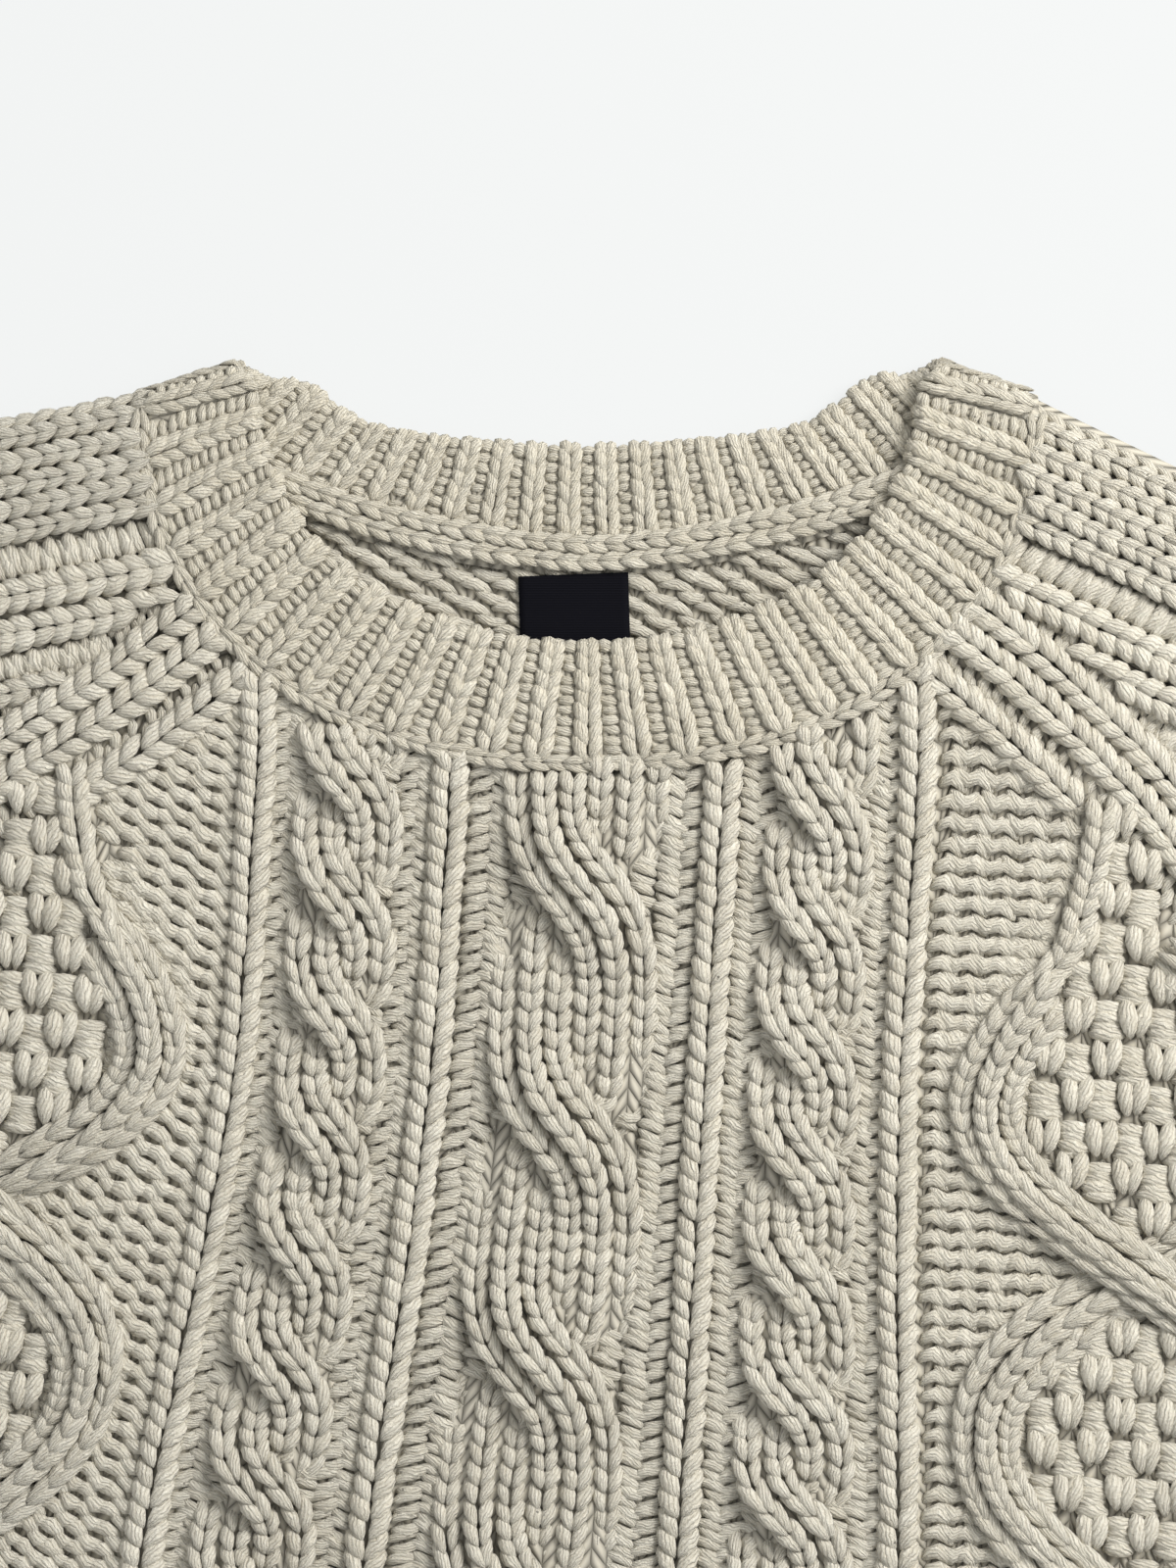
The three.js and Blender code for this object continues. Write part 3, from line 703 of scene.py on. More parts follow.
def waleOn(path, look, offset=0.0, hidden=None):
    # one wale from the rib up to the neckband or the raglan seam
    middle = path(np.array([330.0]))[0][0] + offset
    top = float(panelTop("front", middle)) - 2.2
    rows = np.arange(foot, top, look["row"])
    if hidden is not None:
        rows = rows[~hidden(rows + 0.4 * look["row"])]
    return knitWale(frontField, rows, path, look, offset)


def hiddenStrand(form, side):
    # where a strand passes under the other one
    def hidden(up):
        phase = math.pi * (up - form["crossing"]) / form["repeat"] + math.pi / 2
        return side * np.sin(phase) < -form["covered"]
    return hidden


def purlColumn(middle):
    rows = np.arange(foot + 0.8, float(panelTop("front", middle)) - 1.2, chart["row"])
    return np.full(len(rows), middle), rows


def makeCentre():
    # middle cable of six wales
    look = dict(legLook, width=6.05, radius=1.74, close=0.07, open=0.28, tip=0.95, reach=1.5)
    strands = []
    for side in (-1, 1):
        path = strandPath(cable, 0, side)
        for number in (-1, 0, 1):
            offset = number * look["width"]
            strands += waleOn(rounded(path, cable, 0, number, offset), look, offset,
                              hiddenStrand(cable, side))
    return strands


def makeSides():
    # single wales, ropes of four wales and the purl channels between them
    single = dict(legLook, width=9.6, radius=2.15, close=0.03, open=0.33, tip=1.1, reach=1.6, tail=-0.5)
    pair = dict(legLook, width=6.1, radius=1.78, close=0.07, open=0.27, tip=0.95, reach=1.5)
    strands = []
    for side in (-1, 1):
        for low, high in (chart["waleIn"], chart["waleOut"]):
            strands += waleOn(straight(side * (low + high) / 2, 3.9), single)
        ropeMiddle = side * sum(chart["ropeEdges"]) / 2
        for lead in (-1, 1):
            path = strandPath(rope, ropeMiddle, lead)
            for number in (-0.5, 0.5):
                offset = number * pair["width"]
                curved = rounded(path, rope, ropeMiddle, 0, offset)
                strands += waleOn(curved, pair, offset, hiddenStrand(rope, lead))
        for middle, tilt, rise in ((12.5, 0.2, 0), (18.4, 0.3, 0), (22.6, -0.25, 2.1), (34.8, 0.3, 0),
                                   (38.2, -0.25, 2.1), (42.5, 0.2, 0), (57.8, 0.2, 0), (62.2, 0.3, 0),
                                   (65.8, -0.25, 2.1)):
            across, up = purlColumn(side * middle)
            up = up + rise
            if middle < 20:
                clear = np.abs(strandPath(cable, 0, 1)(up)[0]) + 9.1 < middle + 2.0
                across, up = across[clear], up[clear]
            if 40 < middle < 60:
                bend = np.abs(strandPath(rope, 0, 1)(up)[0]) + 6.1
                clear = bend < abs(middle - abs(ropeMiddle)) + 1.6
                across, up = across[clear], up[clear]
            strands += purlBumps(frontField, across, up, dict(purlLook, radius=1.45, shift=0.14, tilt=tilt))
    return strands


def outerCells(side):
    # purl and moss cells outside the outer wale
    columns = np.arange(chart["waleOut"][1] + 3.2, body["halfChest"] - 2.0, 6.0)
    moss, purl = [], []
    for number, out in enumerate(columns):
        rows = np.arange(foot + 0.8, float(panelTop("front", side * out)), chart["row"])
        below = belowRaglan(side, np.full(len(rows), side * out), rows)
        inner = diamondTrack(True, rows)
        outer = diamondTrack(False, rows)
        beside = np.where(rows > 303, 3.6, diamond["gap"] + 1.5)
        isMoss = (below > 19.5) & (out > inner + beside) & (out < outer - diamond["gap"] - 1.5)
        isPurl = (below > (25.0 if out < 112 else 19.5)) & ((out < inner - diamond["gap"] + 1)
                                                           | (out > outer + diamond["gap"] - 1))
        purl += [(side * out, height) for height in rows[isPurl]]
        moss += [(side * out, height, (number + place // 2) % 2) for place, height in enumerate(rows)
                 if isMoss[place] and place % 2 == 0]
    return np.array(purl), np.array(moss)


def entryPath(path, aside):
    # the innermost wale of the first diamond takes the whole band's place near the raglan
    def moved(up):
        across, high = path(up)
        return across + aside * (1 - smoothStep(298, 310, up)), high
    return moved


def makeBands():
    # three wales on each travelling band of the diamonds
    look = dict(legLook, width=5.2, radius=1.62, close=0.05, open=0.32, tip=1.0, reach=1.6)
    wide = dict(look, width=7.6, radius=1.95)
    strands = []
    for side in (-1, 1):
        for first in (True, False):
            for number in (-1, 0, 1):
                path = raisedBy(diamondPath(first, side), diamond["dome"] * (1 - abs(number)))
                offset = number * look["width"]
                rows = np.arange(foot, 345, look["row"] * 0.86)
                below = belowRaglan(side, path(rows)[0] + offset, rows)
                rows = rows[(below > (22.5 if first else 20.5)) & (first | (rows < 309))]
                if first and number == -side:
                    upper = rows > 303
                    strands += knitWale(frontField, rows[upper], entryPath(path, offset), wide)
                    strands += knitWale(frontField, rows[~upper], entryPath(path, offset), look)
                else:
                    rows = rows[rows < 303 - 5 * number * side] if first else rows
                    strands += knitWale(frontField, rows, path, look, offset)
    return strands


def makeGrounds():
    # purl ground outside the diamonds and double moss inside them
    mossLeg = dict(legLook, row=8.4, width=7.2, radius=2.25, stray=0.3, close=0.1, open=0.2, tail=-0.04,
                   reach=1.06,
                   lift=1.0, tip=0.3)
    mossBump = dict(purlLook, width=7.6, radius=2.0, shift=0.0, bow=0.12, tilt=0.04, high=2.6, lift=1.1,
                    reach=1.04)
    strands = []
    for side in (-1, 1):
        purl, moss = outerCells(side)
        slant = {"tilt": 0.3, "bow": 0.3} if side < 0 else {"tilt": 0.1, "bow": 0.66}
        for inner in (True, False):
            rows = np.arange(foot + 0.8, 318, chart["row"])
            track = diamondTrack(inner, rows)
            for aside, low in ((-7.2, foot), (7.2, foot), (-4.8, 285), (-9.6, 285)):
                keep = (belowRaglan(side, side * (track + aside), rows) > 20) & (rows > low)
                filler = dict(purlLook, width=5.4, shift=0.1, high=1.6)
                strands += purlBumps(frontField, side * (track + aside)[keep], rows[keep], filler)
        strands += purlBumps(frontField, purl[:, 0], purl[:, 1], dict(purlLook, **slant))
        moss[:, 0] += dice.normal(0, 0.3, len(moss))
        moss[:, 1] += dice.normal(0, 0.35, len(moss))
        knit = moss[moss[:, 2] == 0]
        for out, height in knit[:, :2]:
            strands += knitWale(frontField, np.array([height]), straight(out, 3.6), mossLeg)
        bump = moss[moss[:, 2] == 1]
        both = np.concatenate([bump, bump + [0, 3.6, 0]])
        strands += purlBumps(frontField, both[:, 0], both[:, 1], mossBump)
    return strands


def makeRaglans():
    # wales and purl grooves beside the raglan seams
    look = dict(legLook, row=4.4, width=9.0, radius=2.1, close=0.03, open=0.33, tip=1.0, reach=1.6, tail=-0.5)
    groove = dict(purlLook, width=5.5, radius=1.4)
    strands = []
    for side in (-1, 1):
        curve = raglanCurves[side]
        field = curveField(curve, -side, body["frontBase"])
        rows = np.arange(2.0, curve["length"] - 2, look["row"])
        for below in (5.0, 12.8):
            strands += knitWale(field, rows, straight(below, 3.9), look)
        small = np.arange(2.0, curve["length"] - 4, groove["row"])
        strands += purlBumps(field, np.full(len(small), 17.8), small, groove)
        for seam in (0.9, -2.6):
            strands += purlBumps(field, np.full(len(small), seam), small, dict(groove, width=4.4, shift=0.1))
        # the third wale runs down from the neck and bends into the diamond
        joint = curve["length"] - 49.0
        strands += knitWale(field, rows[rows > joint], straight(23.2, 3.7), look)
    return strands


def belowNeck(x, y):
    seam = neckEdges["frontSeam"]
    within = np.abs(x) < seam["half"] - 3
    return ~within | (y - originY < scoopHeight(seam, np.clip(x, 3 - seam["half"], seam["half"] - 3)) - 1.2)


frontPieces = []
for name, strands in (("cable_stitches", makeCentre()), ("rope_stitches", makeSides()),
                      ("diamond_stitches", makeBands()),
                      ("ground_stitches", makeGrounds()), ("raglan_stitches", makeRaglans())):
    frontPieces += yarnPieces(name, keepInside(strands, belowNeck), bodyYarn)
print("front stitches made")


def ridge(offset, half):
    return np.sqrt(np.maximum(0, 1 - (offset / half) ** 2))


def frontShellHeight(across, up):
    out = np.abs(across)
    side = np.where(across < 0, -1, 1)
    high = np.full(np.shape(across), 1.7)
    bend = np.abs(strandPath(cable, 0, 1)(up)[0]) + 8.4
    high = np.maximum(high, 1.7 + 2.6 * ridge(out, np.maximum(bend, 9)) ** 0.5)
    for low, top in (chart["waleIn"], chart["waleOut"]):
        high = np.maximum(high, 1.7 + 1.5 * ridge(out - (low + top) / 2, (top - low) / 2) ** 0.5)
    middle = sum(chart["ropeEdges"]) / 2
    reach = np.abs(strandPath(rope, 0, 1)(up)[0]) + 5.9
    high = np.maximum(high, 1.7 + 2.5 * ridge(out - middle, reach) ** 0.5)
    for inner in (True, False):
        track = diamondTrack(inner, up)
        high = np.maximum(high, 1.7 + 1.7 * ridge(out - track, diamond["half"]) ** 0.5)
    between = (out > diamondTrack(True, up)) & (out < diamondTrack(False, up)) & (up < 310)
    return np.where(between, np.maximum(high, 2.6), high)


def makeFrontShell():
    def place(p, q):
        across = (p - 0.5) * 2 * (body["halfChest"] - 0.8)
        top = panelTop("front", across) - 0.6
        up = foot - 2 + (top - foot + 2) * q
        edge = np.minimum(np.minimum(p, 1 - p), np.minimum(q, 1 - q))
        high = frontShellHeight(across, up)
        return frontField(across, up, np.where(edge < 0.004, 1.4, high))
    shell = gridPiece("front_cloth", 120, 76, place, (370, 345), 1.4, innerClothPaintedShade)
    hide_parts("front")
    return shell


makeFrontShell()


# Back panel: its outer side lies on the table, its inner side shows through the neck


def makeBack():
    def place(p, q):
        across = (p - 0.5) * 2 * (body["halfChest"] - 0.8)
        up = foot + (panelTop("back", across) - 0.6 - foot) * q
        return backField(across, up, 2.2 + 0 * p)
    shell = gridPiece("back_cloth", 60, 50, place, (370, 355), 2.2, innerClothPaintedShade)
    look = dict(purlLook, width=7.2, row=5.0, radius=1.45, high=2.4, lift=0.5, bow=0.2)
    across, up = np.meshgrid(np.arange(-82, 84, 7.2), np.arange(352, 402, 5.0))
    across, up = across.ravel(), up.ravel()
    x, y = lean(across, up)
    inside = ((y < scoopHeight(neckEdges["backSeam"], x) - 1.5)
              & (y > scoopHeight(neckEdges["frontFree"], x) - 12))
    strands = purlBumps(backField, across[inside], up[inside], look)
    stitches = yarnPieces("back_stitches", strands, bodyYarn)
    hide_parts("back")


makeBack()
print("body made")


# Sleeves: the fold along the top is the line that the wales follow

sleeve = {
    "shift": 12, "radius": 3.75, "inset": {-1: 0.6, 1: 3.4}, "hemmed": 3.4, "rings": (
        {"out": 192, "up": 382, "tilt": -5, "width": 123},
        {"out": 284, "up": 316, "tilt": 30, "width": 103},
        {"out": 366, "up": 251, "tilt": 39, "width": 84},
    ),
}


def ringEnds(side, ring):
    tilt = math.radians(ring["tilt"])
    top = np.array([side * ring["out"], ring["up"] - side * sleeve["shift"]])
    return top, top + ring["width"] * np.array([-side * math.sin(tilt), -math.cos(tilt)])


def splinePoint(points, t):
    # even Catmull-Rom spline through the points, t from 0 to 1
    points = np.asarray(points, float)
    place = np.asarray(t) * (len(points) - 1)
    start = np.minimum(np.floor(place).astype(int), len(points) - 2)
    part = (place - start)[..., None]
    p1, p2 = points[start], points[start + 1]
    p0 = points[np.maximum(start - 1, 0)]
    p3 = points[np.minimum(start + 2, len(points) - 1)]
    v0, v1 = (p2 - p0) * 0.5, (p3 - p1) * 0.5
    return ((2 * p1 - 2 * p2 + v0 + v1) * part ** 3 + (-3 * p1 + 3 * p2 - 2 * v0 - v1) * part ** 2
            + v0 * part + p1)


def sleeveMouth(side, which, raglanSteps=30, neckSteps=20):
    corner, edge = body[which + "Corner"], neckEdges[which + "Seam"]
    outs = np.linspace(body["halfChest"], corner, raglanSteps, endpoint=False)
    x, y = lean(side * outs, raglanHeight(corner, edge, side, outs))
    first = np.stack([x + side * 0.35, y], axis=-1)
    meetX = float(lean(side * corner, neckMeet(edge, side * corner))[0])
    start = math.asin(min(1, abs(meetX) / edge["half"]) ** (edge["power"] / 2))
    points = scoopPoint(edge, np.linspace(start, math.pi / 2, neckSteps + 1))
    points = np.stack([side * (points[:, 0] + 0.35), points[:, 1]], axis=-1)
    return np.vstack([first, points])


def sleeveWales(side, mouth):
    rings = [ringEnds(side, ring) for ring in sleeve["rings"]]
    top, low = rings[0]
    upward = unit(top - low)
    heights = (mouth - low) @ upward
    parts = (heights - heights[0]) / (heights[-1] - heights[0])
    return [np.array([point] + [low + (top - low) * part for top, low in rings])
            for point, part in zip(mouth, parts)]


def sleeveSurface(side, which, p, q):
    # p from the lower fold to the top one, q from the mouth to the cuff
    mouth = sleeveMouth(side, which)
    wales = sleeveWales(side, mouth)
    places = np.array([splinePoint(wale, np.linspace(0, 1, 61)) for wale in wales])
    row = np.clip(p, 0, 1) * (len(wales) - 1)
    column = np.clip(q, 0, 1) * 60
    i = np.minimum(row.astype(int), len(wales) - 2)
    j = np.minimum(column.astype(int), 59)
    a, b = (row - i)[:, None], (column - j)[:, None]
    return ((1 - a) * (1 - b) * places[i, j] + a * (1 - b) * places[i + 1, j]
            + (1 - a) * b * places[i, j + 1] + a * b * places[i + 1, j + 1])


def insidePolygon(polygon, x, y):
    inside = np.zeros(len(x), bool)
    for (ax, ay), (bx, by) in zip(polygon, np.roll(polygon, -1, axis=0)):
        crosses = (ay > y) != (by > y)
        reach = (bx - ax) * (y - ay) / np.where(abs(by - ay) < 1e-9, 1e-9, by - ay) + ax
        inside ^= crosses & (x < reach)
    return inside


sleeveChart = (
    # distance of each column from the fold, what it is, its width and height
    {"at": -9.4, "stitch": "wale", "width": 4.7, "high": 2.6},
    {"at": -4.7, "stitch": "wale", "width": 4.7, "high": 2.9},
    {"at": 0.2, "stitch": "wale", "width": 4.8, "high": 3.2},
    {"at": 5.2, "stitch": "wale", "width": 5.0, "high": 4.2},
    {"at": 10.2, "stitch": "wale", "width": 5.0, "high": 5.0},
    {"at": 15.0, "stitch": "wale", "width": 4.8, "high": 4.9},
    {"at": 19.8, "stitch": "wale", "width": 5.0, "high": 4.2},
    {"at": 25.8, "stitch": "purl", "width": 7.6, "high": 2.2},
    {"at": 33.2, "stitch": "wale", "width": 7.8, "high": 3.9},
    {"at": 41.2, "stitch": "wale", "width": 7.4, "high": 3.9},
    {"at": 47.6, "stitch": "purl", "width": 5.4, "high": 2.2},
    {"at": 53.4, "stitch": "wale", "width": 5.6, "high": 4.0},
    {"at": 59.0, "stitch": "wale", "width": 5.6, "high": 4.6},
    {"at": 64.6, "stitch": "wale", "width": 5.6, "high": 4.6},
    {"at": 70.2, "stitch": "wale", "width": 5.6, "high": 4.0},
    {"at": 76.6, "stitch": "purl", "width": 6.4, "high": 2.2},
    {"at": 84.0, "stitch": "wale", "width": 7.6, "high": 3.8},
    {"at": 91.2, "stitch": "purl", "width": 6.4, "high": 2.2},
    {"at": 97.4, "stitch": "purl", "width": 6.4, "high": 2.2},
    {"at": 103.6, "stitch": "purl", "width": 6.4, "high": 2.2},
    {"at": 109.8, "stitch": "purl", "width": 6.4, "high": 2.2},
    {"at": 116.0, "stitch": "purl", "width": 6.4, "high": 2.2},
    {"at": 122.2, "stitch": "purl", "width": 6.4, "high": 2.2},
)


def makeSleeve(name, side):
    steps = np.linspace(0, 1, 61)
    ones = np.ones(61)
    topLine = sleeveSurface(side, "front", ones, steps)
    lowLine = sleeveSurface(side, "front", 0 * ones, steps)
    mouth = sleeveMouth(side, "front")
    cuffward = 2.6 * unit(topLine[-1] - topLine[-3])
    inner = lowLine + sleeve["hemmed"] * unit(topLine - lowLine)
    outline = np.vstack([mouth, topLine + [0, 14], topLine[-1] + [0, 14] + cuffward, inner[-1] + cuffward,
                         inner[::-1]])
    outline[:, 1] += originY
    curve = makeCurve(topLine - [0, sleeve["inset"][side]])
    field = foldField(curve, side, sleeve["radius"])
    rows = np.arange(-40, curve["length"] + 8, 4.3)
    strands = []
    for column in sleeveChart:
        if column["stitch"] == "wale":
            look = dict(legLook, row=4.3, width=column["width"] * 1.08, radius=0.26 * column["width"] + 0.3)
            strands += knitWale(field, rows, straight(column["at"], column["high"]), look)
        else:
            look = dict(purlLook, row=4.3, width=column["width"], high=column["high"], shift=0.12)
            strands += purlBumps(field, np.full(len(rows), float(column["at"])), rows, look)
    strands = keepInside(strands, lambda x, y: insidePolygon(outline, x, y))
    lowCurve = makeCurve(lowLine)
    lowRows = np.arange(1, lowCurve["length"] + 2, 4.3)
    edge = dict(legLook, row=4.3, width=6.4, radius=1.9)
    strands += knitWale(curveField(lowCurve, -side, body["frontBase"]), lowRows, straight(2.6, 2.6), edge)
    pieces = yarnPieces(f"{name}_stitches", strands, bodyYarn)

    def place(p, q):
        # round the flat tube: over the top layer, round the fold, back under it
        upper = sleeveSurface(side, "front", np.clip(p / 0.47, 0, 1), q)
        lower = sleeveSurface(side, "back", np.clip((0.97 - p) / 0.47, 0, 1), q)
        onTop = p <= 0.485
        plan = np.where(onTop[:, None], upper, lower)
        radius = sleeve["radius"] - 1.2
        high = np.where(onTop, body["frontBase"] + 2.0, 2.2)
        turning = (p > 0.47) & (p < 0.50)
        angle = np.where(turning, (p - 0.47) / 0.03 * math.pi, 0)
        under = (p > 0.97)
        angle = np.where(under, (p - 0.97) / 0.03 * math.pi, angle)
        middle = body["frontBase"] + 0.15
        high = np.where(turning, middle + 1.9 * np.cos(angle), high)
        high = np.where(under, middle - 1.9 * np.cos(angle), high)
        outward = np.stack([np.full(len(p), side * 0.5), np.full(len(p), 0.8)], axis=-1)
        plan = plan + np.where(turning, np.sin(angle), 0)[:, None] * outward * radius
        plan = plan - np.where(under, np.sin(angle), 0)[:, None] * outward * 1.0
        return stack(plan[:, 0], plan[:, 1] + originY, high)
    shell = gridPiece(f"{name}_cloth", 100, 50, place, (236, 260), 1.5, innerClothPaintedShade, closed=True)
    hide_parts(name)


makeSleeve("sleeve_left", -1)
makeSleeve("sleeve_right", 1)
print("sleeves made")


# Neckband: stations round the ring, from the middle of the front

neck = {"wall": 4.5, "frontBase": 5, "ribs": {"front": 13, "back": 11, "fold": 2}, "row": 4.4,
        "roll": 1.6, "puff": (5.5, 7.0), "rounding": 4.0}


def evenAngles(seam, free, count):
    angles = np.linspace(0, math.pi / 2, 401)
    line = (scoopPoint(seam, angles) + scoopPoint(free, angles)) / 2
    lengths = np.concatenate([[0], np.cumsum(np.linalg.norm(np.diff(line, axis=0), axis=1))])
    return np.interp(np.linspace(0, lengths[-1], count + 1), lengths, angles)


def neckTable():
    frontMiddle = neck["frontBase"] + neck["wall"] / 2
    backMiddle = neck["wall"] / 2
    radius = (frontMiddle - backMiddle) / 2
    rows = []
    for angle in evenAngles(neckEdges["frontSeam"], neckEdges["frontFree"], neck["ribs"]["front"] * 2):
        rows.append([*scoopPoint(neckEdges["frontSeam"], angle),
                     *scoopPoint(neckEdges["frontFree"], angle), frontMiddle, 0])
    for step in range(1, neck["ribs"]["fold"] * 2):
        turn = math.pi * step / (neck["ribs"]["fold"] * 2)
        out = radius * math.sin(turn)
        seam = scoopPoint(neckEdges["frontSeam"], math.pi / 2) + [0, out]
        free = scoopPoint(neckEdges["frontFree"], math.pi / 2) + [0, out]
        rows.append([*seam, *free, frontMiddle - radius * (1 - math.cos(turn)), turn])
    for angle in evenAngles(neckEdges["backSeam"], neckEdges["backFree"], neck["ribs"]["back"] * 2)[::-1]:
        rows.append([*scoopPoint(neckEdges["backSeam"], angle), *scoopPoint(neckEdges["backFree"], angle),
                     backMiddle, math.pi])
    right = np.array(rows)
    left = right[1:-1][::-1].copy()
    left[:, 0] *= -1
    left[:, 2] *= -1
    rows = np.vstack([right, left])
    puff = np.where(rows[:, 2] < 0, neck["puff"][0], neck["puff"][1])
    rows[:, 3] += puff * np.exp(-((np.abs(rows[:, 2]) - 61) / 9) ** 2) * smoothStep(0.6, 2.6, rows[:, 5])
    rows[:, 2] += neck["rounding"] * np.sign(rows[:, 2]) * np.sin(rows[:, 5])
    return rows


neckRows = neckTable()
neckMid = np.stack([(neckRows[:, 0] + neckRows[:, 2]) / 2, (neckRows[:, 1] + neckRows[:, 3]) / 2,
                    neckRows[:, 4]], axis=-1)
neckSteps = np.linalg.norm(np.diff(np.vstack([neckMid, neckMid[:1]]), axis=0), axis=1)
neckArcs = np.concatenate([[0], np.cumsum(neckSteps)])
neckRound = np.vstack([neckRows, neckRows[:1]])


def neckField(around, up, high):
    # around the ring's middle line, up from the seam, high out of the outer side
    around = np.mod(around, neckArcs[-1])
    sx, sy, fx, fy, z, turn = (np.interp(around, neckArcs, neckRound[:, k]) for k in range(6))
    depth = np.hypot(fx - sx, fy - sy)
    # past the free edge the cloth rolls over to its other side
    edge = depth - neck["roll"]
    angle = np.clip((up - edge) / neck["roll"], 0, math.pi)
    part = (np.minimum(up, edge) + np.abs(high) * np.sin(angle)) / np.maximum(depth, 1)
    high = high * np.cos(angle)
    x = sx + (fx - sx) * part
    y = sy + (fy - sy) * part + high * np.sin(turn)
    return stack(x, y + originY, z + high * np.cos(turn))


def neckTurn(number):
    return neckRound[number % len(neckRows), 5]


def makeNeckband():
    strands = []
    wide = dict(legLook, row=neck["row"] * 0.8, close=0.06, open=0.28, lift=0.2, tip=0.35, reach=1.9)
    bump = dict(purlLook, row=neck["row"], radius=1.22, shift=0.0, bow=0.05, tilt=0.06, lift=0.7, reach=1.0)
    for number in range(len(neckRows)):
        around = neckArcs[number]
        row = neckRound[number]
        depth = math.hypot(row[2] - row[0], row[3] - row[1])
        turn = neckTurn(number)
        spacing = (neckSteps[number - 1] + neckSteps[number]) / 2
        rows = np.arange(0.8, depth + 0.5, neck["row"] * 0.8)
        small = np.arange(1.6, depth + 0.5, neck["row"])
        for face, shows in ((1, turn < 0.85 * math.pi), (-1, turn > 0.15 * math.pi)):
            if not shows:
                continue
            isKnit = (number % 2 == 0) == (face == 1)
            if isKnit:
                look = dict(wide, width=spacing * 1.4, radius=0.27 * spacing * 1.4)
                made = knitWale(flipped(neckField, face), rows, straight(around, 1.2), look)
            else:
                look = dict(bump, width=spacing * 1.0, high=0.2)
                made = purlBumps(flipped(neckField, face), np.full(len(small), around), small, look)
            strands.extend(made)
    pieces = yarnPieces("neckband_stitches", strands, neckYarn)

    chain = dict(legLook, row=4.2, width=4.2, radius=1.2, close=0.05, open=0.3, lift=0.3, tip=0.5, stray=0.1)
    edges = []
    angles = np.linspace(0, math.pi / 2, 120)
    seam = scoopPoint(neckEdges["frontSeam"], angles)
    line = np.vstack([seam[::-1] * [-1, 1], seam[1:]])
    curve = makeCurve(line)
    field = curveField(curve, 1, 0)
    rows = np.arange(2, curve["length"] - 2, chain["row"])
    edges.extend(knitWale(field, rows, straight(1.0, 8.3), chain))
    seam = scoopPoint(neckEdges["backSeam"], angles)
    line = np.vstack([seam[::-1] * [-1, 1], seam[1:]])
    curve = makeCurve(line)
    field = curveField(curve, 1, 0)
    rows = np.arange(2, curve["length"] - 2, 4.6)
    thick = dict(chain, row=4.6, width=4.2, radius=1.3)
    edges.extend(knitWale(field, rows, straight(-1.6, 5.0), thick))
    edges.extend(knitWale(field, rows + 1.5, straight(-5.4, 5.2), thick))
    pieces += yarnPieces("neck_chains", edges, neckYarn)

    def place(p, q):
        around = p * neckArcs[-1]
        depth = np.interp(around, neckArcs,
                          np.hypot(neckRound[:, 2] - neckRound[:, 0], neckRound[:, 3] - neckRound[:, 1]))
        return neckField(around, q * (depth - 0.6) - 1.6 * (1 - q), 0.9 + 0 * p)
    shell = gridPiece("neckband_cloth", 208, 8, place, (480, 25), 1.8, innerClothPaintedShade, closed=True)
    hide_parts("neckband")


def flipped(field, face):
    def turned(across, up, high):
        return field(across, up, face * high)
    return turned


makeNeckband()
print("neckband made")


# Hem and cuffs in one by one rib

def makeHems():
    ribs = {"count": 38, "row": 3.6, "knit": 6.2, "purl": 4.4}
    pitch = 2 * body["halfChest"] / ribs["count"]
    leg = dict(legLook, row=ribs["row"], width=ribs["knit"], radius=1.75)
    dip = dict(purlLook, row=ribs["row"], width=ribs["purl"], radius=1.05, shift=0.0, bow=0.12, high=2.2)
    strands = []
    rows = np.arange(0.8, body["hemDepth"] - 1, ribs["row"])
    for number in range(ribs["count"]):
        middle = -body["halfChest"] + (number + 0.5) * pitch
        strands += knitWale(frontField, rows, straight(middle, 3.6), leg)
        if number:
            strands += purlBumps(frontField, np.full(len(rows), middle - pitch / 2), rows + 1, dip)
    stitches = yarnPieces("hem_front_stitches", strands, bodyYarn)

    def placer(level, ribbed):
        def place(p, q):
            across = (p - 0.5) * 2 * (body["halfChest"] - 0.6)
            up = 0.5 + q * (body["hemDepth"] - 1.2)
            wave = 0.6 * np.abs(np.sin(math.pi * (across + body["halfChest"]) / pitch)) if ribbed else 0
            return backField(across, up, level + wave)
        return place
    front = gridPiece("hem_front_cloth", 152, 8, placer(body["frontBase"] + 1.8, True), (370, 48), 1.6,
                      innerClothPaintedShade)
    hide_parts("hem_front")
    back = gridPiece("hem_back_cloth", 76, 8, placer(2.2, False), (370, 48), 2.2, innerClothPaintedShade)
    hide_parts("hem_back")


